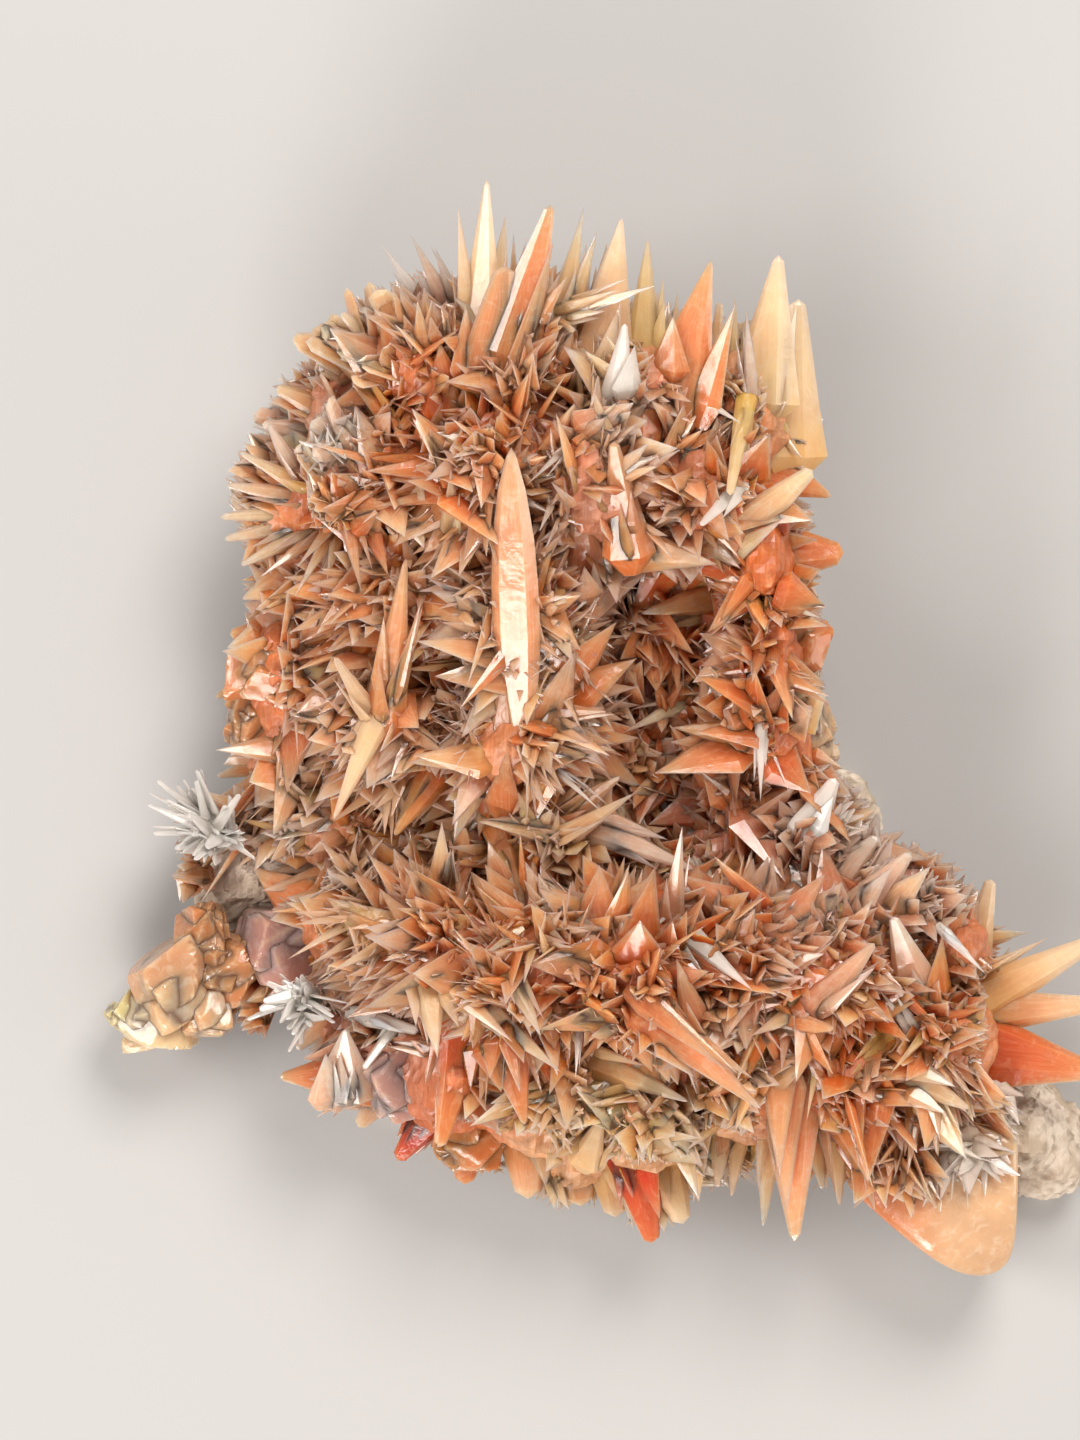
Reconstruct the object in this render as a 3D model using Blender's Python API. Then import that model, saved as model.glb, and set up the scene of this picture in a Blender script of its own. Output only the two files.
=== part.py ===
"""Calcite needle cluster on grey-white rock, lying on its flat sawn back.

Plan places are in millimetres right (x) and up (y) from a datum corner below and
left of the specimen, and heights (z) are millimetres above the surface it lies on.
"""
import math
import random
from dataclasses import dataclass

import bmesh
import bpy
from mathutils import Matrix, Vector

MM = 0.001
OBJECT_NAME = "calcite_needle_cluster"

# The origin is under the middle of the whole object, at this plan place
PLAN_MIDDLE = (60.69, 70.52)

CLEARANCE = 0.35
WELD = 0.001

# The crust's knobs, and how the crystals stand on them
LUMP_ROUGHNESS = 0.10
LUMP_FULLNESS = 1.06
LOWEST_CRUST = 9.0
CRYSTAL_SINK = 1.2
FLOOR_MARGIN = 0.8
ROCK_SEED = 5

# A crystal's section, and its rings as shares of its length and of its widest radius
CRYSTAL_SIDES = 6
NEEDLE_SIDES = 4
NEEDLE_BELOW_WIDTH = 2.7
WAIST_FROM_WIDTH = 3.1
UPRIGHT_BELOW = 0.05
POINTED_FOOT = 0.8
POINTED_WIDEST_AT = 0.3
BLUNT_FROM_SHARE = 0.45
BLUNT_FOOT = 0.9
BLUNT_WIDEST_AT = 0.5
SHOULDER_AT = 0.88
SHOULDER_SPREAD = 0.4

# The small teeth that are scattered between the placed crystals
SCATTER_SEED = 17
SCATTER_COUNT = 16
SCATTER_REACH = (0.1, 0.75)
SCATTER_LENGTH = (3.5, 6.0)
SCATTER_WIDTH = (1.6, 2.8)
SCATTER_TURN = 0.7
SCATTER_FLATTENING = 0.8


@dataclass(frozen=True)
class Lump:
    """A faceted knob of crust or rock: its middle, half-sizes and fineness."""

    x: float
    y: float
    z: float
    half_x: float
    half_y: float
    half_z: float
    fineness: int = 1


@dataclass(frozen=True)
class Block:
    """A cleavage block: its middle, full sizes, and turn in degrees about X, Y and Z."""

    middle: tuple
    size: tuple
    turn: tuple
    shear: float = 0.2


@dataclass(frozen=True)
class Crystal:
    """A dogtooth or needle: plan foot and tip, widest width, and how it stands.

    lift is how far the tip stands above the foot, blunt the width of the tip face
    (none on a pointed one), thick the thickness as a share of the width, and depth
    the foot's height as a share of the crust's height there.
    """

    foot: tuple
    tip: tuple
    width: float
    lift: float = 3.0
    blunt: float = 0.0
    thick: float = 0.7
    depth: float = 1.0


@dataclass(frozen=True)
class Spray:
    """A fan of colourless blades: its foot, its tips, and the box it is seated in."""

    name: str
    foot: tuple
    tips: tuple
    seat_middle: tuple
    seat_half: tuple


CRUST_LUMPS = (
    # The upper block, from its left shoulder to its right ridge
    Lump(34.8, 103.2, 15, 7.4, 7.0, 10),
    Lump(38.4, 110.8, 15, 4.2, 3.8, 8),
    Lump(43.6, 113.2, 17, 4.8, 3.6, 9),
    Lump(30.0, 94.5, 13, 7.0, 8.0, 9),
    Lump(30.0, 85.5, 12, 5.6, 6.5, 8),
    Lump(28.8, 76.5, 13, 6.2, 7.5, 9),
    Lump(28.4, 68.5, 11, 6.2, 6.0, 7),
    Lump(42.5, 107.5, 20, 9.0, 8.0, 12),
    Lump(52.5, 108.2, 21, 9.5, 8.5, 13),
    Lump(63.5, 106.0, 20, 9.0, 7.5, 13),
    Lump(74.0, 103.0, 18, 7.0, 8.5, 12),
    Lump(38.5, 97.0, 18, 9.0, 9.0, 12),
    Lump(49.0, 97.5, 20, 9.5, 10.0, 14),
    Lump(60.0, 96.5, 20, 9.5, 10.0, 14),
    Lump(70.5, 95.5, 19, 9.0, 9.0, 13),
    Lump(76.0, 88.0, 18, 5.6, 9.0, 13),
    Lump(77.0, 80.0, 18, 5.2, 8.0, 12),
    Lump(77.0, 72.5, 15, 5.6, 7.5, 10),
    Lump(52.0, 84.0, 18, 8.0, 11.0, 12),
    Lump(51.5, 71.0, 15, 8.0, 9.0, 12),
    Lump(41.0, 84.0, 15, 10.0, 10.0, 11),
    Lump(40.0, 72.0, 13, 10.0, 9.0, 10),
    Lump(64.0, 82.0, 10, 11.0, 11.0, 9),
    Lump(66.0, 70.5, 9, 11.0, 8.5, 8),
    Lump(74.5, 65.0, 11, 7.0, 6.0, 8),
    # The pinkish slope down the right-hand side
    Lump(80.0, 68.0, 12, 4.0, 6.5, 8),
    Lump(82.0, 60.0, 12, 6.0, 6.2, 8),
    Lump(89.5, 53.0, 13, 8.5, 6.5, 9),
    Lump(95.5, 48.5, 13, 5.5, 6.5, 9),
    # The valley between the two blocks
    Lump(56.0, 60.0, 11, 11.0, 6.0, 10),
    Lump(44.0, 58.5, 9, 9.0, 6.0, 8),
    Lump(70.0, 57.5, 10, 10.0, 6.0, 8),
    Lump(33.5, 61.5, 10, 8.0, 6.0, 8),
    Lump(22.8, 61.5, 9, 5.6, 4.6, 6),
    Lump(19.6, 56.5, 8, 2.2, 3.6, 4),
    Lump(25.6, 43.6, 6.5, 2.4, 3.2, 4.5),
    # The lower lobe
    Lump(35.0, 52.0, 11, 7.5, 7.0, 9),
    Lump(44.0, 48.5, 14, 9.0, 8.0, 11),
    Lump(54.0, 47.0, 17, 10.0, 9.0, 12),
    Lump(64.0, 46.5, 18, 10.0, 9.0, 12),
    Lump(74.0, 47.5, 16, 10.0, 9.0, 12),
    Lump(84.0, 47.0, 15, 9.0, 9.0, 11),
    Lump(36.5, 39.5, 10, 6.0, 6.5, 8),
    Lump(35.2, 35.4, 9, 5.4, 4.2, 6),
    Lump(45.0, 36.5, 12, 7.5, 8.0, 10),
    Lump(55.0, 34.5, 13, 9.0, 8.5, 10),
    Lump(64.5, 32.5, 13, 8.0, 8.0, 10),
    Lump(74.0, 35.5, 13, 7.5, 8.0, 11),
    Lump(84.5, 36.0, 13, 8.5, 8.5, 11),
    Lump(94.5, 39.5, 14, 7.5, 8.5, 10),
    Lump(65.0, 25.5, 9, 4.6, 4.6, 6),
    Lump(57.5, 27.5, 9, 6.0, 4.8, 7),
    Lump(72.5, 29.5, 9, 4.5, 4.0, 6),
    Lump(89.5, 28.5, 11, 7.5, 5.0, 8),
    Lump(96.5, 30.5, 11, 5.0, 5.5, 8),
)

CLEAVAGE_BLOCKS = (
    # The massive broken lump at the lower left
    Block((17.2, 45.6, 8.0), (9.6, 7.6, 9.5), (8, -10, 38)),
    Block((20.2, 50.2, 8.5), (6.2, 7.2, 9.0), (-6, 8, 8)),
    Block((15.9, 41.5, 6.5), (9.4, 4.4, 7.5), (10, 4, -6)),
    Block((20.6, 42.6, 7.5), (6.0, 6.2, 8.0), (-8, 6, 6)),
    Block((12.2, 42.6, 6.0), (4.0, 3.4, 5.5), (4, 6, 40)),
    Block((27.5, 49.6, 8.5), (9.5, 7.5, 8.5), (5, 6, 4), 0.1),
    # Flat-sided masses on the left edge and at the bottom
    Block((26.2, 77.2, 14.5), (6.6, 5.5, 8.0), (10, -14, 6)),
    Block((25.2, 72.2, 11.5), (5.2, 5.5, 7.0), (6, 10, -8)),
    Block((39.5, 36.0, 12.0), (6.0, 8.0, 9.0), (12, 8, 30)),
    Block((46.5, 30.0, 9.5), (7.0, 7.5, 9.0), (8, 6, -18)),
    Block((79.0, 80.1, 18.0), (7.2, 6.1, 9.0), (6, 8, -6)),
    Block((81.0, 71.0, 12.5), (4.6, 7.0, 8.0), (4, 8, 14)),
)

UPPER_RIM = (
    Crystal((41.2, 115.0), (38.3, 119.2), 1.7, 1.0, depth=0.9),
    Crystal((44.6, 113.5), (41.2, 120.0), 2.2, 1.0, depth=0.92),
    Crystal((48.3, 111.0), (48.8, 125.0), 3.6, 1.5, 0.8, 0.8, 0.95),
    Crystal((50.2, 114.5), (50.4, 120.2), 1.6, 0.5, depth=0.92),
    Crystal((51.4, 113.0), (51.4, 120.0), 1.6, 0.5, depth=0.88),
    Crystal((51.6, 108.5), (55.1, 122.3), 5.0, 2.0, 1.4, 0.6, 0.98),
    Crystal((49.5, 107.0), (50.6, 116.4), 8.0, 2.0, 6.0, 0.45, 0.97),
    Crystal((56.0, 110.5), (58.3, 122.3), 2.1, 1.0, depth=0.95),
    Crystal((57.6, 111.5), (58.6, 119.0), 2.6, 1.0, depth=0.9),
    Crystal((59.4, 109.5), (60.6, 119.0), 3.0, 1.5, depth=0.93),
    Crystal((60.0, 108.5), (62.0, 121.2), 4.6, 2.5, 0.6, 0.7, 0.97),
    Crystal((64.0, 108.5), (64.6, 119.2), 2.4, 1.0, 0.5, 0.8, 0.92),
    Crystal((56.0, 111.8), (65.2, 114.4), 2.0, 3.0, depth=1.0),
    Crystal((61.6, 103.6), (62.3, 110.6), 3.6, 5.0, 0.8),
    Crystal((67.2, 103.0), (70.8, 117.1), 5.0, 2.5, 0.6, 0.65, 0.98),
    Crystal((67.0, 108.0), (67.6, 114.6), 1.4, 0.5, depth=0.88),
    Crystal((71.2, 106.0), (71.7, 113.3), 2.0, 1.0, 1.2, depth=0.92),
    Crystal((73.2, 107.0), (73.3, 114.3), 1.3, 0.5, depth=0.88),
    Crystal((75.0, 103.5), (74.2, 112.2), 1.8, 3.0, depth=0.97),
    Crystal((75.7, 104.5), (77.5, 117.8), 4.5, 1.0, 1.6, 0.8, 0.92),
    Crystal((78.6, 99.0), (79.8, 113.7), 5.0, 1.0, 2.2, 0.8, 0.9),
    Crystal((69.0, 104.2), (73.8, 101.0), 1.6, 2.5),
    Crystal((74.2, 102.4), (72.6, 94.0), 1.8, 2.0, 1.2),
    Crystal((37.5, 109.5), (34.4, 112.2), 2.6, 0.5, 1.0, depth=0.88),
    Crystal((34.5, 106.5), (31.4, 108.4), 3.0, 0.5, 1.4, depth=0.88),
    Crystal((31.5, 103.6), (27.8, 105.0), 3.0, 0.5, 1.6, depth=0.88),
    Crystal((30.0, 101.0), (26.3, 101.4), 2.8, 0.5, 1.6, depth=0.88),
)

LEFT_EDGE = (
    # The rosette of thin blades opening to the left
    Crystal((31.0, 95.0), (24.2, 98.6), 2.4, 0.5, 0.8, depth=0.85),
    Crystal((31.0, 94.0), (22.8, 95.4), 2.4, 0.5, 0.8, depth=0.85),
    Crystal((31.0, 93.0), (22.1, 92.2), 2.4, 0.0, 1.0, depth=0.85),
    Crystal((31.5, 92.0), (22.5, 90.0), 2.4, 0.0, 1.0, depth=0.85),
    Crystal((32.0, 91.5), (24.2, 87.4), 2.4, 0.5, 0.8, depth=0.85),
    Crystal((32.5, 91.0), (26.2, 86.2), 1.8, 1.5, depth=0.9),
    Crystal((33.5, 91.0), (29.7, 84.2), 1.8, 2.0, depth=0.95),
    Crystal((35.0, 91.5), (36.4, 84.6), 1.8, 2.0),
    Crystal((30.0, 96.0), (27.0, 101.5), 2.4, 1.0, 0.8, depth=0.9),
    # Teeth down to the valley
    Crystal((27.0, 81.0), (22.9, 80.6), 3.4, 0.0, 1.8, depth=0.7),
    Crystal((25.0, 76.0), (21.3, 74.3), 3.0, 0.0, 0.8, depth=0.5),
    Crystal((25.5, 71.5), (22.1, 69.9), 3.0, 0.0, 1.2, depth=0.5),
    Crystal((26.0, 67.5), (21.4, 66.3), 2.6, 0.0, 0.8, depth=0.5),
    Crystal((31.2, 55.9), (25.8, 54.8), 2.6, -1.0, depth=0.8),
    Crystal((31.4, 57.4), (26.3, 56.6), 2.2, -0.5, depth=0.8),
    Crystal((33.6, 51.0), (28.9, 48.2), 1.2, 1.0),
    Crystal((34.4, 49.5), (30.9, 47.5), 1.1, 1.5),
    Crystal((37.8, 49.4), (33.1, 47.0), 1.6, 2.5),
    Crystal((37.8, 48.4), (36.5, 46.2), 1.2, 2.5),
)

RIGHT_EDGE = (
    Crystal((77.5, 101.0), (82.2, 101.9), 3.2, 0.5, 0.8, depth=0.7),
    Crystal((76.0, 97.0), (82.9, 94.2), 6.0, 0.5, 0.8, 0.7, 0.75),
    Crystal((73.5, 90.5), (80.8, 96.6), 4.0, 2.0, 2.0, 0.8, 0.95),
    Crystal((74.5, 89.0), (84.2, 88.6), 7.0, 0.5, 3.3, 0.8, 0.7),
    Crystal((76.5, 86.0), (80.5, 84.5), 3.0, 0.0, 0.8, depth=0.7),
    Crystal((78.5, 69.5), (84.1, 68.6), 4.4, 0.0, 2.0, depth=0.6),
    Crystal((97.6, 48.0), (99.1, 56.1), 3.2, 1.0, 2.0, 0.8, 0.7),
    Crystal((98.0, 50.0), (103.2, 50.7), 2.6, 0.0, depth=0.65),
    Crystal((97.0, 43.6), (110.0, 50.2), 4.6, 1.0, 2.2, 0.9, 0.7),
    Crystal((97.0, 42.4), (110.4, 43.6), 4.2, 1.0, 2.2, 0.9, 0.65),
    Crystal((96.0, 39.2), (111.8, 36.4), 7.6, 0.5, 0.8, 0.8, 0.65),
    Crystal((90.4, 41.8), (87.6, 45.3), 1.6, 1.5),
)

FACE = (
    # The two long spindles and the pale crossed blades
    Crystal((52.2, 73.0), (51.2, 98.6), 4.4, 9.5, 0.6, 0.8),
    Crystal((38.6, 72.0), (40.8, 87.9), 3.2, 6.5, 0.6, 0.8),
    Crystal((37.2, 72.4), (33.7, 78.2), 2.4, 4.0, 1.0),
    Crystal((38.4, 73.6), (33.6, 62.2), 2.9, 1.5, 0.6, 0.8),
    Crystal((44.0, 55.4), (44.3, 62.0), 2.8, 6.0),
    Crystal((45.8, 77.4), (40.1, 77.0), 1.5, 2.0),
    Crystal((62.6, 89.5), (61.2, 99.2), 4.0, 4.5, 2.0),
    Crystal((58.5, 87.5), (57.8, 94.3), 4.2, 4.0, 0.8),
    Crystal((65.0, 87.5), (60.7, 89.7), 1.4, 3.5),
    Crystal((72.4, 93.7), (69.7, 91.0), 1.8, 2.5, 0.8),
    Crystal((70.8, 84.2), (64.1, 82.6), 4.0, 4.0, 0.4, 0.6),
    Crystal((68.6, 73.8), (62.2, 70.7), 2.0, 3.5),
    Crystal((75.9, 70.4), (75.8, 63.9), 1.4, 1.0),
    Crystal((45.3, 92.0), (45.3, 96.6), 2.2, 3.5),
    Crystal((50.0, 64.0), (50.5, 75.0), 5.0, 6.0, 2.4, 0.7, 0.9),
    Crystal((56.5, 60.5), (63.6, 64.9), 2.6, 3.0),
    Crystal((57.0, 63.0), (62.0, 66.4), 3.0, 2.0, 0.6, 0.6),
    Crystal((60.0, 61.0), (69.2, 57.2), 3.0, 2.0, 0.8),
    Crystal((50.0, 60.0), (53.5, 50.6), 2.2, 3.0),
    Crystal((48.0, 59.0), (44.8, 59.4), 1.6, 3.0),
    Crystal((43.0, 66.0), (39.5, 60.5), 3.2, 0.5, 0.8),
    Crystal((67.0, 53.0), (68.0, 61.6), 2.4, 4.0),
    Crystal((69.5, 50.0), (74.9, 45.4), 2.6, 2.5),
    Crystal((74.0, 60.0), (73.0, 66.5), 3.0, 2.0),
    Crystal((82.0, 44.5), (87.0, 50.0), 4.0, 2.0, 1.0),
    Crystal((79.5, 43.0), (74.8, 40.8), 2.6, 2.5),
    Crystal((78.0, 42.0), (83.0, 41.5), 3.2, 2.5, 0.8),
    Crystal((91.0, 47.0), (89.0, 52.5), 4.0, 1.5, 1.4),
    Crystal((84.5, 57.0), (87.6, 60.4), 4.0, 0.5, 1.6),
    Crystal((87.5, 55.0), (90.8, 58.8), 4.0, 0.5, 1.6),
    Crystal((81.5, 62.5), (83.4, 66.2), 4.0, 0.5, 1.6),
)

LOWER_EDGE = (
    Crystal((34.4, 36.4), (34.6, 41.2), 5.4, 2.5, 0.6),
    Crystal((35.4, 36.4), (27.8, 36.1), 5.6, -1.0, 1.2, 0.8, 0.7),
    Crystal((33.0, 42.0), (29.4, 38.8), 3.6, 0.0, 1.4, depth=0.6),
    Crystal((37.0, 34.6), (31.0, 34.0), 4.4, -1.0, 1.4, 0.8, 0.6),
    Crystal((38.0, 34.0), (35.6, 30.8), 4.4, -1.0, 2.2, 0.8, 0.6),
    Crystal((43.0, 45.0), (43.9, 38.6), 3.4, 3.0),
    Crystal((48.6, 43.4), (56.1, 37.3), 2.9, 2.5),
    Crystal((52.2, 45.0), (54.1, 40.9), 2.2, 2.0),
    Crystal((50.5, 41.0), (52.5, 32.0), 5.4, 0.5, 0.8),
    Crystal((46.2, 40.5), (44.0, 29.5), 5.6, 0.0, 2.0, 0.6),
    Crystal((43.0, 32.0), (39.6, 27.6), 4.0, -2.0, 2.4, 0.8, 0.6),
    Crystal((47.0, 31.0), (46.4, 25.2), 5.2, -1.0, 2.8, 0.8, 0.6),
    Crystal((52.5, 30.0), (52.8, 23.8), 6.0, -1.0, 4.4, 0.8, 0.6),
    Crystal((57.6, 28.0), (58.2, 23.0), 5.6, -1.0, 4.0, 0.8, 0.6),
    Crystal((61.0, 27.0), (61.6, 21.9), 5.0, -1.0, 3.4, 0.8, 0.6),
    Crystal((63.5, 27.5), (65.2, 19.5), 5.6, -1.0, 2.4, 0.8, 0.7),
    Crystal((66.4, 27.0), (68.4, 21.4), 4.8, -1.0, 2.8, 0.8, 0.7),
    Crystal((59.2, 29.5), (60.4, 33.2), 3.2, 3.0),
    Crystal((58.2, 38.6), (68.7, 34.2), 3.8, 2.5, 0.5, 0.6),
    Crystal((64.8, 43.0), (75.7, 33.8), 4.2, 1.5, 0.5, 0.6),
    Crystal((69.2, 42.6), (67.4, 48.6), 3.4, 3.0),
    Crystal((78.4, 39.0), (79.4, 19.9), 6.8, -3.0, 1.5, 0.7),
    Crystal((77.2, 33.0), (76.4, 21.2), 3.2, -3.0, 0.5, 0.7, 0.75),
    Crystal((72.0, 30.5), (71.8, 25.1), 2.8, -1.0, 0.6, 0.7, 0.7),
    Crystal((74.0, 30.0), (73.2, 24.2), 2.4, -1.0, 0.5, 0.7, 0.7),
    Crystal((81.5, 31.0), (82.4, 24.8), 3.0, -1.0, 0.8, 0.7, 0.6),
    Crystal((83.8, 31.0), (84.1, 23.2), 3.2, -1.0, 0.5, 0.7, 0.6),
    Crystal((88.5, 40.5), (84.7, 36.6), 2.4, 2.0),
    Crystal((92.0, 36.0), (96.5, 33.5), 3.4, 1.0, 0.8),
)

# The broad cream crystal with the rounded end, as a plan outline
BLUNT_OUTLINE = ((84.6, 25.4), (89.3, 20.9), (94.2, 17.2), (97.0, 16.0), (99.6, 16.1),
                 (101.2, 17.3), (101.8, 19.4), (101.8, 30.0), (92.0, 34.0))
BLUNT_LOW = 5.0
BLUNT_HIGH = 15.5
BLUNT_ROUND = 2.4

ROCK_LUMPS = (
    Lump(38, 96, 0, 13, 13, 9),
    Lump(57, 98, 0, 16, 12, 11),
    Lump(70, 84, 0, 12, 17, 9),
    Lump(44, 76, 0, 17, 15, 8),
    Lump(60, 60, 0, 20, 15, 8),
    Lump(57, 86, 0, 9, 9, 8),
    Lump(79.5, 59.5, 0, 9.0, 9.5, 7),
    Lump(25.0, 55.6, 0, 7.0, 4.6, 8),
    Lump(34, 57, 0, 14, 9, 8),
    Lump(48, 42, 0, 17, 12, 7),
    Lump(70, 40, 0, 17, 13, 8),
    Lump(90, 40, 0, 13, 11, 8),
    # Bare rock at the lower right, past the crystals
    Lump(101, 30, 0, 8.0, 6.0, 11, 2),
    Lump(105, 27.4, 0, 4.6, 3.5, 8.5, 2),
    Lump(103.8, 31, 0, 3.0, 3.2, 8.0, 2),
)

SPRAYS = (
    Spray(
        name="clear_spray_left",
        foot=(21.8, 60.6, 13.5),
        tips=((17.4, 66.8, 14.5), (20.4, 66.4, 17.5), (15.4, 63.6, 15.0), (14.8, 60.6, 14.5),
              (16.4, 58.4, 14.5), (19.6, 57.4, 18.0), (23.6, 65.2, 18.0), (24.4, 60.0, 20.0),
              (18.4, 61.8, 20.5)),
        seat_middle=(19.5, 62.0, 18.0),
        seat_half=(6.0, 6.0, 6.0),
    ),
    Spray(
        name="clear_spray_low",
        foot=(30.6, 44.2, 13.0),
        tips=((26.2, 46.2, 14.0), (26.0, 43.4, 14.5), (27.4, 41.4, 14.0), (29.6, 40.0, 14.5),
              (29.6, 47.2, 17.0), (33.4, 42.6, 17.5), (29.4, 43.8, 18.5)),
        seat_middle=(29.2, 43.6, 17.5),
        seat_half=(4.6, 4.4, 6.0),
    ),
)
SPRAY_BLADE_WIDTH = 2.6
SPRAY_TIP_WIDTH = 1.0
SPRAY_THICKNESS = 0.5
SPRAY_KNOB = 2.6

# The flat back is sawn by a box below the floor that reaches past the rock
SAW_REACH = 90.0
SAW_DEPTH = 20.0


def to_world(x, y, z):
    """Turn a plan place and a height in millimetres into world metres."""
    return Vector((x - PLAN_MIDDLE[0], y - PLAN_MIDDLE[1], z)) * MM


def clear_scene():
    """Remove every object that is already in the scene."""
    for item in list(bpy.data.objects):
        bpy.data.objects.remove(item, do_unlink=True)


def make_collection(name):
    """Add a collection to the scene and return it."""
    collection = bpy.data.collections.new(name)
    bpy.context.scene.collection.children.link(collection)
    return collection


def make_material(name, colour, roughness):
    """Return a Principled material with the given colour and roughness."""
    material = bpy.data.materials.new(name)
    material.use_nodes = True
    shader = material.node_tree.nodes["Principled BSDF"]
    shader.inputs["Base Color"].default_value = (*colour, 1.0)
    shader.inputs["Roughness"].default_value = roughness
    shader.inputs["Metallic"].default_value = 0.0
    material.diffuse_color = (*colour, 1.0)
    return material


def new_object(name, bm, collection):
    """Put a bmesh in a new mesh object, with its faces pointing out."""
    bmesh.ops.recalc_face_normals(bm, faces=bm.faces[:])
    mesh = bpy.data.meshes.new(name)
    bm.to_mesh(mesh)
    bm.free()
    item = bpy.data.objects.new(name, mesh)
    collection.objects.link(item)
    return item


def crust_height(x, y):
    """Return the height of the crust's top over a plan place, in millimetres."""
    height = LOWEST_CRUST
    for lump in CRUST_LUMPS:
        share = ((x - lump.x) / lump.half_x) ** 2 + ((y - lump.y) / lump.half_y) ** 2
        if share < 1.0:
            height = max(height, lump.z + lump.half_z * math.sqrt(1.0 - share))
    return height


def add_lump(bm, lump, chance, growth=0.0):
    """Add a knob with an uneven surface, grown outwards by a distance."""
    ball = bmesh.ops.create_icosphere(bm, subdivisions=lump.fineness, radius=LUMP_FULLNESS)
    half_sizes = Vector((lump.half_x, lump.half_y, lump.half_z))
    half_sizes += Vector((growth, growth, growth))
    for vertex in ball["verts"]:
        swell = 1.0 + chance.uniform(-LUMP_ROUGHNESS, LUMP_ROUGHNESS)
        place = Vector(vertex.co[:]) * swell
        vertex.co = to_world(lump.x + place.x * half_sizes.x,
                             lump.y + place.y * half_sizes.y,
                             lump.z + place.z * half_sizes.z)


def add_block(bm, block):
    """Add a slanted cleavage block."""
    cube = bmesh.ops.create_cube(bm, size=1.0)
    turn = Matrix.Identity(4)
    for angle, axis in zip(block.turn, "XYZ"):
        turn = Matrix.Rotation(math.radians(angle), 4, axis) @ turn
    for vertex in cube["verts"]:
        corner = Vector([share * size for share, size in zip(vertex.co, block.size)])
        corner.x += corner.y * block.shear
        corner = turn @ corner + Vector(block.middle)
        vertex.co = to_world(*corner)


def crystal_rings(width, blunt, sides):
    """Return the (share of length, radius) rings from a crystal's foot to its tip."""
    widest = width / 2.0
    if sides == CRYSTAL_SIDES:
        widest /= math.cos(math.pi / sides)
    tip = blunt / 2.0
    if blunt > BLUNT_FROM_SHARE * width:
        shoulder = tip + SHOULDER_SPREAD * (widest - tip)
        return ((0.0, BLUNT_FOOT * widest), (BLUNT_WIDEST_AT, widest),
                (SHOULDER_AT, shoulder), (1.0, tip))
    if width < WAIST_FROM_WIDTH:
        return ((0.0, widest), (1.0, tip))
    return ((0.0, POINTED_FOOT * widest), (POINTED_WIDEST_AT, widest), (1.0, tip))


def add_spire(bm, foot, tip, width, blunt, thick):
    """Add a spire between two points in millimetres, to a point if it isn't blunt."""
    foot = Vector(foot)
    tip = Vector(tip)
    axis = (tip - foot).normalized()
    side = axis.cross(Vector((0.0, 0.0, 1.0)))
    side = Vector((1.0, 0.0, 0.0)) if side.length < UPRIGHT_BELOW else side.normalized()
    front = side.cross(axis)
    sides = NEEDLE_SIDES if width < NEEDLE_BELOW_WIDTH else CRYSTAL_SIDES
    rings = crystal_rings(width, blunt, sides)
    section = bmesh.ops.create_circle(bm, cap_ends=True, segments=sides, radius=1.0)
    shape = [Vector(vertex.co[:]) for vertex in section["verts"]]
    ring = section["verts"]
    for number, (share, radius) in enumerate(rings):
        if number:
            top = [face for face in ring[0].link_faces if all(v in ring for v in face.verts)]
            grown = bmesh.ops.extrude_face_region(bm, geom=top)
            if number > 1:
                bmesh.ops.delete(bm, geom=top, context="FACES_ONLY")
            moved = [part for part in grown["geom"] if isinstance(part, bmesh.types.BMVert)]
            ring = sorted(moved, key=lambda v: find_corner(v, previous))
        place = foot.lerp(tip, share)
        for vertex, corner in zip(ring, shape):
            across = side * (corner.y * radius)
            towards = front * (corner.x * radius * thick)
            vertex.co = to_world(*(place + across + towards))
        previous = [vertex.co.copy() for vertex in ring]
    if not blunt:
        bmesh.ops.pointmerge(bm, verts=ring, merge_co=to_world(*tip))


def find_corner(vertex, corners):
    """Return the number of the corner that a freshly extruded vertex lies on."""
    gaps = [(vertex.co - corner).length_squared for corner in corners]
    return gaps.index(min(gaps))


def add_crystal(bm, crystal):
    """Add one hand-placed crystal, rooted in the crust."""
    height = crust_height(*crystal.foot) * crystal.depth - CRYSTAL_SINK
    tip_height = max(height + crystal.lift, FLOOR_MARGIN + crystal.width / 2.0)
    foot = (*crystal.foot, height)
    tip = (*crystal.tip, tip_height)
    add_spire(bm, foot, tip, crystal.width, crystal.blunt, crystal.thick)


def scattered_crystals(chance):
    """Return small teeth that stand out of the crust, between the large ones."""
    teeth = []
    while len(teeth) < SCATTER_COUNT:
        lump = chance.choice(CRUST_LUMPS)
        angle = chance.uniform(0.0, 2.0 * math.pi)
        reach = chance.uniform(*SCATTER_REACH)
        foot = (lump.x + lump.half_x * reach * math.cos(angle),
                lump.y + lump.half_y * reach * math.sin(angle))
        length = chance.uniform(*SCATTER_LENGTH)
        lean = angle + chance.uniform(-SCATTER_TURN, SCATTER_TURN)
        run = length * reach
        tip = (foot[0] + run * math.cos(lean), foot[1] + run * math.sin(lean))
        lift = length * math.sqrt(1.0 - SCATTER_FLATTENING * reach * reach)
        width = chance.uniform(*SCATTER_WIDTH)
        teeth.append(Crystal(foot, tip, width, lift + CRYSTAL_SINK / 2.0))
    return teeth


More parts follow.
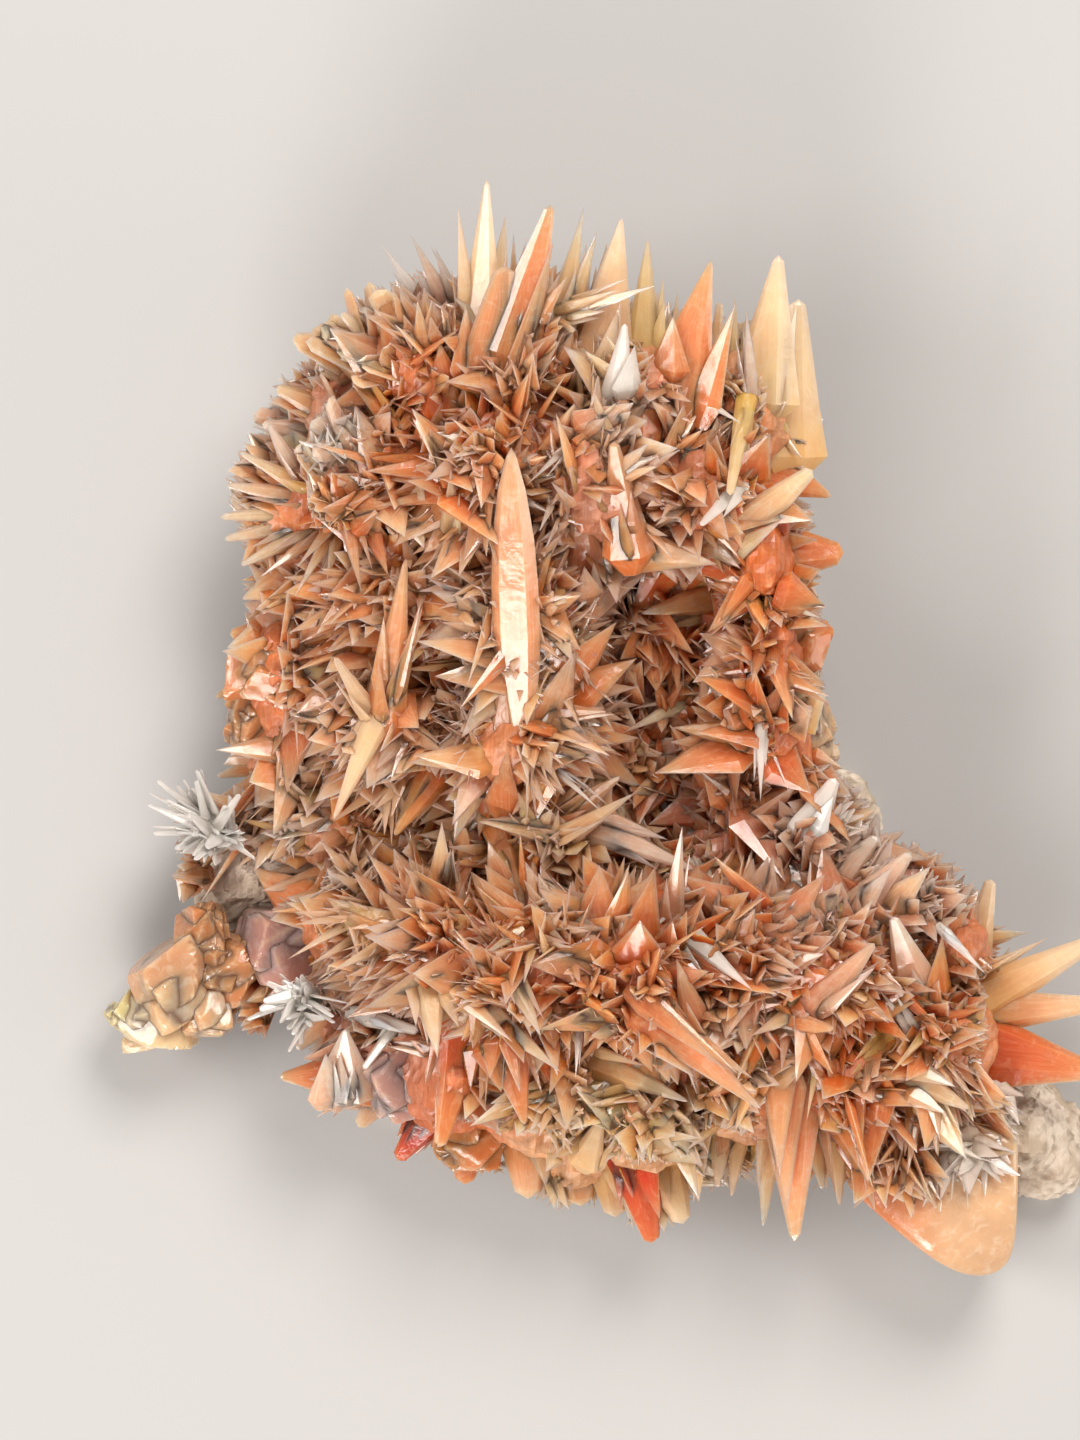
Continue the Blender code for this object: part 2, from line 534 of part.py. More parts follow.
def make_blunt_crystal(collection):
    """Make the broad rounded crystal from its plan outline, as a mesh object."""
    curve = bpy.data.curves.new("blunt_crystal_outline", "CURVE")
    curve.dimensions = "2D"
    curve.fill_mode = "BOTH"
    spline = curve.splines.new("POLY")
    spline.points.add(len(BLUNT_OUTLINE) - 1)
    spline.use_cyclic_u = True
    middle = (BLUNT_LOW + BLUNT_HIGH) / 2.0
    for point, (x, y) in zip(spline.points, BLUNT_OUTLINE):
        place = to_world(x, y, 0.0)
        point.co = (place.x, place.y, 0.0, 1.0)
    curve.extrude = (BLUNT_HIGH - BLUNT_LOW) / 2.0 * MM
    outline = bpy.data.objects.new("blunt_crystal_outline", curve)
    outline.location = (0.0, 0.0, middle * MM)
    collection.objects.link(outline)
    bpy.context.view_layer.update()
    evaluated = outline.evaluated_get(bpy.context.evaluated_depsgraph_get())
    mesh = bpy.data.meshes.new_from_object(evaluated)
    mesh.transform(outline.matrix_world)
    bpy.data.objects.remove(outline, do_unlink=True)
    bm = bmesh.new()
    bm.from_mesh(mesh)
    bmesh.ops.remove_doubles(bm, verts=bm.verts[:], dist=WELD * MM)
    bmesh.ops.dissolve_limit(bm, angle_limit=math.radians(1.0), verts=bm.verts[:],
                             edges=bm.edges[:])
    rims = [edge for edge in bm.edges
            if abs(edge.verts[0].co.z - edge.verts[1].co.z) < WELD * MM]
    bmesh.ops.bevel(bm, geom=rims, offset=BLUNT_ROUND * MM, offset_type="OFFSET",
                    segments=2, profile=0.5, affect="EDGES")
    return new_object("blunt_crystal", bm, collection)


def combine(base, cutters, operation):
    """Unite with or cut by every object of a collection, and keep the result as a mesh."""
    modifier = base.modifiers.new("combine", "BOOLEAN")
    modifier.operation = operation
    modifier.operand_type = "COLLECTION"
    modifier.collection = cutters
    modifier.solver = "EXACT"
    bpy.context.view_layer.update()
    evaluated = base.evaluated_get(bpy.context.evaluated_depsgraph_get())
    mesh = bpy.data.meshes.new_from_object(evaluated)
    base.modifiers.clear()
    base.data = mesh


def mesh_islands(bm):
    """Return the separate bodies of a mesh as lists of vertices."""
    waiting = set(bm.verts)
    islands = []
    while waiting:
        island = [waiting.pop()]
        for vertex in island:
            for edge in vertex.link_edges:
                neighbour = edge.other_vert(vertex)
                if neighbour in waiting:
                    waiting.remove(neighbour)
                    island.append(neighbour)
        islands.append(island)
    return islands


def keep_outer_body(item):
    """Keep the largest body: sealed hollows and loose chips are dropped."""
    bm = bmesh.new()
    bm.from_mesh(item.data)
    bmesh.ops.remove_doubles(bm, verts=bm.verts[:], dist=WELD * MM)
    bmesh.ops.dissolve_degenerate(bm, dist=WELD * MM, edges=bm.edges[:])
    islands = sorted(mesh_islands(bm), key=len)
    spare = [vertex for island in islands[:-1] for vertex in island]
    bmesh.ops.delete(bm, geom=spare, context="VERTS")
    bmesh.ops.triangulate(bm, faces=bm.faces[:])
    bm.to_mesh(item.data)
    bm.free()


def finish(item, material):
    """Give a finished solid its material and flat facets."""
    item.data.materials.clear()
    item.data.materials.append(material)
    item.data.shade_flat()


def hide_cutters(collection):
    """Mark the guide objects as cutters, out of the render."""
    for cutter in collection.objects:
        cutter.hide_render = True
        cutter.display_type = "WIRE"


def add_box(collection, name, middle, half_sizes):
    """Add a plain box, to cut or trim with."""
    bm = bmesh.new()
    cube = bmesh.ops.create_cube(bm, size=2.0)
    for vertex in cube["verts"]:
        place = [centre + share * half for centre, share, half
                 in zip(middle, vertex.co[:], half_sizes)]
        vertex.co = to_world(*place)
    return new_object(name, bm, collection)


def build_rock(parts, cutters):
    """Make the rock, sawn flat underneath, and a grown copy that cuts its seat."""
    chance = random.Random(ROCK_SEED)
    pieces = make_collection("rock_pieces")
    seat_pieces = make_collection("rock_seat_pieces")
    for number, lump in enumerate(ROCK_LUMPS):
        state = chance.getstate()
        for collection, growth in ((pieces, 0.0), (seat_pieces, CLEARANCE)):
            chance.setstate(state)
            bm = bmesh.new()
            add_lump(bm, lump, chance, growth)
            new_object(f"rock_{number:02d}_{growth:.1f}", bm, collection)
    below = add_box(cutters, "saw_cut", (*PLAN_MIDDLE, -SAW_DEPTH),
                    (SAW_REACH, SAW_REACH, SAW_DEPTH))
    rock = merge_pieces("matrix", pieces, parts)
    seat = merge_pieces("rock_seat", seat_pieces, cutters)
    cut_by(rock, below)
    keep_outer_body(rock)
    return rock, seat


def merge_pieces(name, pieces, collection):
    """Unite all the pieces of a collection in one named object."""
    base = pieces.objects[0]
    pieces.objects.unlink(base)
    collection.objects.link(base)
    base.name = name
    base.data.name = name
    combine(base, pieces, "UNION")
    for piece in list(pieces.objects):
        bpy.data.objects.remove(piece, do_unlink=True)
    bpy.data.collections.remove(pieces)
    return base


def cut_by(item, cutter, operation="DIFFERENCE"):
    """Cut an object by one cutter, and keep the result as a mesh."""
    modifier = item.modifiers.new("cut", "BOOLEAN")
    modifier.operation = operation
    modifier.object = cutter
    modifier.solver = "EXACT"
    bpy.context.view_layer.update()
    evaluated = item.evaluated_get(bpy.context.evaluated_depsgraph_get())
    mesh = bpy.data.meshes.new_from_object(evaluated)
    item.modifiers.clear()
    item.data = mesh


def build_cluster(parts):
    """Make the crust and every crystal that has grown together on it."""
    chance = random.Random(SCATTER_SEED)
    pieces = make_collection("cluster_pieces")
    for number, lump in enumerate(CRUST_LUMPS):
        bm = bmesh.new()
        add_lump(bm, lump, chance)
        new_object(f"crust_{number:02d}", bm, pieces)
    for number, block in enumerate(CLEAVAGE_BLOCKS):
        bm = bmesh.new()
        add_block(bm, block)
        new_object(f"block_{number:02d}", bm, pieces)
    crystals = [*UPPER_RIM, *LEFT_EDGE, *RIGHT_EDGE, *FACE, *LOWER_EDGE]
    crystals += scattered_crystals(chance)
    for number, crystal in enumerate(crystals):
        bm = bmesh.new()
        add_crystal(bm, crystal)
        new_object(f"crystal_{number:03d}", bm, pieces)
    make_blunt_crystal(pieces)
    return merge_pieces("calcite_cluster", pieces, parts)


def build_spray(spray, cluster, parts, cutters):
    """Make a spray of colourless blades in a seat cut out of the cluster."""
    pieces = make_collection(spray.name + "_pieces")
    chance = random.Random(len(spray.tips))
    bm = bmesh.new()
    add_lump(bm, Lump(*spray.foot, SPRAY_KNOB, SPRAY_KNOB, SPRAY_KNOB), chance)
    new_object(spray.name + "_knob", bm, pieces)
    for number, tip in enumerate(spray.tips):
        bm = bmesh.new()
        add_spire(bm, spray.foot, tip, SPRAY_BLADE_WIDTH, SPRAY_TIP_WIDTH, SPRAY_THICKNESS)
        new_object(f"{spray.name}_{number}", bm, pieces)
    item = merge_pieces(spray.name, pieces, parts)
    seat = add_box(cutters, spray.name + "_seat", spray.seat_middle, spray.seat_half)
    inner_half = tuple(half - CLEARANCE for half in spray.seat_half)
    room = add_box(cutters, spray.name + "_room", spray.seat_middle, inner_half)
    cut_by(cluster, seat)
    cut_by(item, room, "INTERSECT")
    keep_outer_body(item)
    return item


def main():
    """Build every node of the cluster."""
    clear_scene()
    parts = make_collection(OBJECT_NAME)
    cutters = make_collection("cutters")
    rock_finish = make_material("grey_white_rock", (0.55, 0.46, 0.38), 0.85)
    calcite_finish = make_material("orange_calcite", (0.72, 0.33, 0.15), 0.25)
    clear_finish = make_material("clear_calcite", (0.85, 0.80, 0.76), 0.15)

    rock, rock_seat = build_rock(parts, cutters)
    cluster = build_cluster(parts)
    cut_by(cluster, rock_seat)

    for spray in SPRAYS:
        finish(build_spray(spray, cluster, parts, cutters), clear_finish)
    keep_outer_body(cluster)
    finish(rock, rock_finish)
    finish(cluster, calcite_finish)
    hide_cutters(cutters)


if __name__ == "__main__":
    main()
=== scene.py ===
"""Finished look of the calcite needle cluster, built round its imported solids.

Plan places are in millimetres right (x) and up (y) from a datum corner below and left of
the specimen, and heights (z) are millimetres above the floor. It lies on its sawn back,
and the camera looks straight down on it.
"""
import logging
import math
from dataclasses import dataclass, field, fields
from enum import Enum

import bmesh
import bpy
import numpy as np
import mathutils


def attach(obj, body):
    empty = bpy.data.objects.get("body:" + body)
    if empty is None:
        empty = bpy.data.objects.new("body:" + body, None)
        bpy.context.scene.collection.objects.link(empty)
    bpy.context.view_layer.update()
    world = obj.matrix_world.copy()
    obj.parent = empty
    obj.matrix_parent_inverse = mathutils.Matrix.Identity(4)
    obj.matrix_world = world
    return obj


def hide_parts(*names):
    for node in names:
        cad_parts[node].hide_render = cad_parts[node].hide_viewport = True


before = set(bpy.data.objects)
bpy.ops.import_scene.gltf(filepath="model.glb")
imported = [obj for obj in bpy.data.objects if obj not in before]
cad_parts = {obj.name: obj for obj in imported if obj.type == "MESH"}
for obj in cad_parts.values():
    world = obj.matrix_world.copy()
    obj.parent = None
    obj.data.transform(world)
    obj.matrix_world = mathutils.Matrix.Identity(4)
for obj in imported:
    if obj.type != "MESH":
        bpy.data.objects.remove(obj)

Array = np.ndarray
Colour = tuple[float, float, float]

log = logging.getLogger("calcite")

MM = 0.001
BODY = "root"
PLAN_MIDDLE = (60.69, 70.52)

# Heights and sinks that the part's source uses for its crystals
LOWEST_CRUST = 9.0
CRYSTAL_SINK = 1.2
FLOOR_MARGIN = 0.8
HIGHEST_TIP = 36.3
OVER_CRUST = 1.0

# The skin under the tufts lies this much inside the solid crust, to leave room for them
SKIN_INSET = (2.0, 2.0, 3.2)
THINNEST_LUMP = 1.4
ROOT = 3.5
FAN_SINK = 2.6

# Finished tips are narrower, and finished blades flatter, than those of the solids
BLUNT_SHARE = 0.55
THICK_SHARE = 0.75

# Painted shade: this far under the crust's top, a tone is raised to this power and gains this much
PAINTED_SHADE_DEPTH = 3.0
PAINTED_SHADE_POWER = 1.7
PAINTED_SHADE_GAIN = (0.15, 0.25, -0.2)
# Tips are mixed towards this pale colour, partly their thinner colour and partly a painted highlight
PALE_TIP_AND_HIGHLIGHT = (0.98, 0.70, 0.50)

TINT = "tint"
ALONG = "along_crystal"


class Tone(Enum):
    """Base colours of the crystals, as linear red, green and blue."""

    SALMON = (0.78, 0.27, 0.10)
    ORANGE = (0.74, 0.21, 0.05)
    DEEP = (0.55, 0.15, 0.03)
    RED = (0.68, 0.12, 0.025)
    PEACH = (0.88, 0.44, 0.23)
    CREAM = (0.94, 0.58, 0.33)
    YELLOW = (0.98, 0.62, 0.26)
    TAN = (0.76, 0.35, 0.18)
    PINK = (0.83, 0.46, 0.34)
    MAUVE = (0.66, 0.34, 0.28)
    WHITE = (0.98, 0.90, 0.82)


PALE_TONES = (Tone.WHITE, Tone.CREAM, Tone.YELLOW)


@dataclass(frozen=True)
class Lump:
    """A knob of crust or rock: its middle and half-sizes."""

    x: float
    y: float
    z: float
    half_x: float
    half_y: float
    half_z: float


@dataclass(frozen=True)
class Block:
    """A cleavage block: its middle, full sizes, and turn in degrees about X, Y and Z."""

    middle: tuple[float, float, float]
    size: tuple[float, float, float]
    turn: tuple[float, float, float]
    shear: float = 0.2
    tone: Tone = Tone.SALMON


@dataclass(frozen=True)
class Crystal:
    """A dogtooth or needle: plan foot and tip, widest width, and how it stands.

    lift is how far the tip stands above the foot, blunt the width of the tip, thick the
    thickness as a share of the width, and depth the foot's height as a share of the
    crust's height there. tone is its colour, or none for the colour of its zone.
    """

    foot: tuple[float, float]
    tip: tuple[float, float]
    width: float
    lift: float = 3.0
    blunt: float = 0.0
    thick: float = 0.7
    depth: float = 1.0
    tone: Tone | None = None


@dataclass(frozen=True)
class Fan:
    """A tuft of thin crystals from one foot, spread between two plan angles in degrees."""

    foot: tuple[float, float]
    angles: tuple[float, float]
    length: float
    width: float
    count: int
    tone: Tone
    rise: tuple[float, float] = (10.0, 70.0)
    depth: float = 1.0
    blunt: float = 0.15
    reach: float = 1.2


@dataclass(frozen=True)
class Zone:
    """A patch of colour: its plan middle, how far it reaches, its tone and strength."""

    x: float
    y: float
    reach: float
    tone: Tone
    strength: float = 1.0


@dataclass(frozen=True)
class Spray:
    """A fan of colourless blades: its node, its foot and its tips."""

    node: str
    foot: tuple[float, float, float]
    tips: tuple[tuple[float, float, float], ...]


CRUST_LUMPS = (
    # The upper block, from its left shoulder to its right ridge
    Lump(34.8, 103.2, 15, 7.4, 7.0, 10),
    Lump(38.4, 110.8, 15, 4.2, 3.8, 8),
    Lump(43.6, 113.2, 17, 4.8, 3.6, 9),
    Lump(30.0, 94.5, 13, 7.0, 8.0, 9),
    Lump(30.0, 85.5, 12, 5.6, 6.5, 8),
    Lump(28.8, 76.5, 13, 6.2, 7.5, 9),
    Lump(28.4, 68.5, 11, 6.2, 6.0, 7),
    Lump(42.5, 107.5, 20, 9.0, 8.0, 12),
    Lump(52.5, 108.2, 21, 9.5, 8.5, 13),
    Lump(63.5, 106.0, 20, 9.0, 7.5, 13),
    Lump(74.0, 103.0, 18, 7.0, 8.5, 12),
    Lump(38.5, 97.0, 18, 9.0, 9.0, 12),
    Lump(49.0, 97.5, 20, 9.5, 10.0, 14),
    Lump(60.0, 96.5, 20, 9.5, 10.0, 14),
    Lump(70.5, 95.5, 19, 9.0, 9.0, 13),
    Lump(76.0, 88.0, 18, 5.6, 9.0, 13),
    Lump(77.0, 80.0, 18, 5.2, 8.0, 12),
    Lump(77.0, 72.5, 15, 5.6, 7.5, 10),
    Lump(52.0, 84.0, 18, 8.0, 11.0, 12),
    Lump(51.5, 71.0, 15, 8.0, 9.0, 12),
    Lump(41.0, 84.0, 15, 10.0, 10.0, 11),
    Lump(40.0, 72.0, 13, 10.0, 9.0, 10),
    Lump(64.0, 82.0, 10, 11.0, 11.0, 9),
    Lump(66.0, 70.5, 9, 11.0, 8.5, 8),
    Lump(74.5, 65.0, 11, 7.0, 6.0, 8),
    # The pinkish slope down the right-hand side
    Lump(80.0, 68.0, 12, 4.0, 6.5, 8),
    Lump(82.0, 60.0, 12, 6.0, 6.2, 8),
    Lump(89.5, 53.0, 13, 8.5, 6.5, 9),
    Lump(95.5, 48.5, 13, 5.5, 6.5, 9),
    # The valley between the two blocks
    Lump(56.0, 60.0, 11, 11.0, 6.0, 10),
    Lump(44.0, 58.5, 9, 9.0, 6.0, 8),
    Lump(70.0, 57.5, 10, 10.0, 6.0, 8),
    Lump(33.5, 61.5, 10, 8.0, 6.0, 8),
    Lump(22.8, 61.5, 9, 5.6, 4.6, 6),
    Lump(19.6, 56.5, 8, 2.2, 3.6, 4),
    Lump(25.6, 43.6, 6.5, 2.4, 3.2, 4.5),
    # The lower lobe
    Lump(35.0, 52.0, 11, 7.5, 7.0, 9),
    Lump(44.0, 48.5, 14, 9.0, 8.0, 11),
    Lump(54.0, 47.0, 17, 10.0, 9.0, 12),
    Lump(64.0, 46.5, 18, 10.0, 9.0, 12),
    Lump(74.0, 47.5, 16, 10.0, 9.0, 12),
    Lump(84.0, 47.0, 15, 9.0, 9.0, 11),
    Lump(36.5, 39.5, 10, 6.0, 6.5, 8),
    Lump(35.2, 35.4, 9, 5.4, 4.2, 6),
    Lump(45.0, 36.5, 12, 7.5, 8.0, 10),
    Lump(55.0, 34.5, 13, 9.0, 8.5, 10),
    Lump(64.5, 32.5, 13, 8.0, 8.0, 10),
    Lump(74.0, 35.5, 13, 7.5, 8.0, 11),
    Lump(84.5, 36.0, 13, 8.5, 8.5, 11),
    Lump(94.5, 39.5, 14, 7.5, 8.5, 10),
    Lump(65.0, 25.5, 9, 4.6, 4.6, 6),
    Lump(57.5, 27.5, 9, 6.0, 4.8, 7),
    Lump(72.5, 29.5, 9, 4.5, 4.0, 6),
    Lump(89.5, 28.5, 11, 7.5, 5.0, 8),
    Lump(96.5, 30.5, 11, 5.0, 5.5, 8),
)

CLEAVAGE_BLOCKS = (
    # The massive broken lump at the lower left
    Block((17.2, 45.6, 8.0), (9.6, 7.6, 9.5), (8, -10, 38), tone=Tone.PEACH),
    Block((20.2, 50.2, 8.5), (6.2, 7.2, 9.0), (-6, 8, 8), tone=Tone.SALMON),
    Block((15.9, 41.5, 6.5), (9.4, 4.4, 7.5), (10, 4, -6), tone=Tone.CREAM),
    Block((20.6, 42.6, 7.5), (6.0, 6.2, 8.0), (-8, 6, 6), tone=Tone.PEACH),
    Block((12.2, 42.6, 6.0), (4.0, 3.4, 5.5), (4, 6, 40), tone=Tone.YELLOW),
    Block((27.5, 49.6, 8.5), (9.5, 7.5, 8.5), (5, 6, 4), 0.1, Tone.MAUVE),
    Block((22.4, 46.9, 7.6), (7.5, 7.5, 8.4), (10, -8, 24), tone=Tone.SALMON),
    # Flat-sided masses on the left edge and at the bottom
    Block((26.2, 77.2, 14.5), (6.6, 5.5, 8.0), (10, -14, 6), tone=Tone.SALMON),
    Block((25.2, 72.2, 11.5), (5.2, 5.5, 7.0), (6, 10, -8), tone=Tone.SALMON),
    Block((39.5, 36.0, 12.0), (6.0, 8.0, 9.0), (12, 8, 30), tone=Tone.MAUVE),
    Block((46.5, 30.0, 9.5), (7.0, 7.5, 9.0), (8, 6, -18), tone=Tone.ORANGE),
    Block((79.0, 80.1, 18.0), (7.2, 6.1, 9.0), (6, 8, -6), tone=Tone.ORANGE),
    Block((81.0, 71.0, 12.5), (4.6, 7.0, 8.0), (4, 8, 14), tone=Tone.PEACH),
)

UPPER_RIM = (
    Crystal((41.2, 115.0), (38.3, 119.2), 1.7, 1.0, depth=0.9, tone=Tone.WHITE),
    Crystal((44.6, 113.5), (41.2, 120.0), 2.2, 1.0, depth=0.92, tone=Tone.PINK),
    Crystal((48.3, 111.0), (48.8, 125.0), 3.6, 1.5, 0.8, 0.8, 0.95, Tone.CREAM),
    Crystal((50.2, 114.5), (50.4, 120.2), 1.6, 0.5, depth=0.92),
    Crystal((51.4, 113.0), (51.4, 120.0), 1.6, 0.5, depth=0.88),
    Crystal((51.6, 108.5), (55.1, 122.3), 5.0, 2.0, 1.4, 0.6, 0.98, Tone.SALMON),
    Crystal((49.5, 107.0), (50.6, 116.4), 5.6, 2.0, 3.0, 0.45, 0.97, Tone.SALMON),
    Crystal((56.0, 110.5), (58.3, 122.3), 3.0, 1.0, depth=0.95, tone=Tone.PEACH),
    Crystal((57.6, 111.5), (58.6, 119.0), 2.6, 1.0, depth=0.9, tone=Tone.PINK),
    Crystal((59.4, 109.5), (60.6, 119.0), 3.0, 1.5, depth=0.93),
    Crystal((60.0, 108.5), (62.0, 121.2), 6.2, 2.5, 0.6, 0.7, 0.97, Tone.CREAM),
    Crystal((64.0, 108.5), (64.6, 119.2), 3.4, 1.0, 0.5, 0.8, 0.92, Tone.YELLOW),
    Crystal((56.0, 111.8), (65.2, 114.4), 2.0, 3.0, depth=1.0, tone=Tone.PEACH),
    Crystal((61.6, 103.6), (62.3, 110.6), 3.6, 5.0, 0.8, tone=Tone.WHITE),
    Crystal((67.2, 103.0), (70.8, 117.1), 6.8, 2.5, 0.6, 0.65, 0.98, Tone.SALMON),
    Crystal((67.0, 108.0), (67.6, 114.6), 1.4, 0.5, depth=0.88, tone=Tone.YELLOW),
    Crystal((71.2, 106.0), (71.7, 113.3), 2.0, 1.0, 1.2, depth=0.92),
    Crystal((73.2, 107.0), (73.3, 114.3), 1.3, 0.5, depth=0.88, tone=Tone.YELLOW),
    Crystal((75.0, 103.5), (74.2, 112.2), 1.8, 3.0, depth=0.97, tone=Tone.PINK),
    Crystal((75.7, 104.5), (77.5, 117.8), 6.0, 1.0, 1.6, 0.8, 0.92, Tone.CREAM),
    Crystal((78.6, 99.0), (79.6, 113.7), 6.0, 1.0, 2.2, 0.8, 0.9, Tone.CREAM),
    Crystal((69.0, 104.2), (73.8, 101.0), 1.6, 2.5, tone=Tone.WHITE),
    Crystal((74.2, 102.4), (72.6, 94.0), 1.8, 2.0, 1.2, tone=Tone.YELLOW),
    Crystal((37.5, 109.5), (34.4, 112.2), 2.6, 0.5, 1.0, depth=0.88, tone=Tone.PEACH),
    Crystal((34.5, 106.5), (31.4, 108.4), 3.0, 0.5, 1.4, depth=0.88, tone=Tone.PEACH),
    Crystal((31.5, 103.6), (27.8, 105.0), 3.0, 0.5, 1.6, depth=0.88, tone=Tone.PEACH),
    Crystal((30.0, 101.0), (26.3, 101.4), 2.8, 0.5, 1.6, depth=0.88, tone=Tone.PINK),
)

LEFT_EDGE = (
    # The rosette of thin blades opening to the left
    Crystal((31.0, 95.0), (24.2, 98.6), 2.4, 0.5, 0.8, depth=0.85, tone=Tone.PEACH),
    Crystal((31.0, 94.0), (22.8, 95.4), 2.4, 0.5, 0.8, depth=0.85, tone=Tone.TAN),
    Crystal((31.0, 93.0), (22.1, 92.2), 2.4, 0.0, 1.0, depth=0.85, tone=Tone.PEACH),
    Crystal((31.5, 92.0), (22.5, 90.0), 2.4, 0.0, 1.0, depth=0.85, tone=Tone.TAN),
    Crystal((32.0, 91.5), (24.2, 87.4), 2.4, 0.5, 0.8, depth=0.85, tone=Tone.PEACH),
    Crystal((32.5, 91.0), (26.2, 86.2), 1.8, 1.5, depth=0.9, tone=Tone.TAN),
    Crystal((33.5, 91.0), (29.7, 84.2), 1.8, 2.0, depth=0.95, tone=Tone.PEACH),
    Crystal((35.0, 91.5), (36.4, 84.6), 1.8, 2.0),
    Crystal((30.0, 96.0), (27.0, 101.5), 2.4, 1.0, 0.8, depth=0.9, tone=Tone.PINK),
    # Teeth down to the valley
    Crystal((27.0, 81.0), (22.9, 80.6), 3.4, 0.0, 1.8, depth=0.7),
    Crystal((25.0, 76.0), (21.3, 74.3), 3.0, 0.0, 0.8, depth=0.5),
    Crystal((25.5, 71.5), (22.1, 69.9), 3.0, 0.0, 1.2, depth=0.5),
    Crystal((26.0, 67.5), (21.4, 66.3), 2.6, 0.0, 0.8, depth=0.5),
    Crystal((31.2, 55.9), (25.8, 54.8), 2.6, -1.0, depth=0.8, tone=Tone.TAN),
    Crystal((31.4, 57.4), (26.3, 56.6), 2.2, -0.5, depth=0.8, tone=Tone.TAN),
    Crystal((33.6, 51.0), (28.9, 48.2), 1.2, 1.0, tone=Tone.CREAM),
    Crystal((34.4, 49.5), (30.9, 47.5), 1.1, 1.5, tone=Tone.CREAM),
    Crystal((37.8, 49.4), (33.1, 47.0), 1.6, 2.5, tone=Tone.CREAM),
    Crystal((37.8, 48.4), (36.5, 46.2), 1.2, 2.5, tone=Tone.TAN),
)

RIGHT_EDGE = (
    Crystal((77.5, 101.0), (82.2, 101.9), 3.2, 0.5, 0.8, depth=0.7, tone=Tone.CREAM),
    Crystal((76.0, 97.0), (82.9, 94.2), 6.0, 0.5, 0.8, 0.7, 0.75, Tone.ORANGE),
    Crystal((73.5, 90.5), (80.8, 96.6), 4.0, 2.0, 2.0, 0.8, 0.95, Tone.PEACH),
    Crystal((74.5, 89.0), (84.2, 88.6), 7.0, 0.5, 3.3, 0.8, 0.7, Tone.ORANGE),
    Crystal((76.5, 86.0), (80.5, 84.5), 3.0, 0.0, 0.8, depth=0.7, tone=Tone.ORANGE),
    Crystal((78.5, 69.5), (84.1, 68.6), 4.4, 0.0, 2.0, depth=0.6, tone=Tone.CREAM),
    Crystal((97.6, 48.0), (99.1, 56.1), 3.2, 1.0, 2.0, 0.8, 0.7, Tone.CREAM),
    Crystal((98.0, 50.0), (103.2, 50.7), 2.6, 0.0, depth=0.65, tone=Tone.PEACH),
    Crystal((97.0, 43.6), (110.0, 50.2), 4.6, 1.0, 2.2, 0.9, 0.7, Tone.CREAM),
    Crystal((97.0, 42.4), (110.4, 43.6), 4.2, 1.0, 2.2, 0.9, 0.65, Tone.PEACH),
    Crystal((96.0, 39.2), (111.8, 36.4), 7.6, 0.5, 0.8, 0.8, 0.65, Tone.ORANGE),
    Crystal((90.4, 41.8), (87.6, 45.3), 1.6, 1.5, tone=Tone.WHITE),
)

SPINDLES = (
    # The longest one, which stands on the face
    Crystal((52.2, 73.0), (51.2, 98.6), 4.6, 9.5, 0.6, 0.8, tone=Tone.TAN),
)

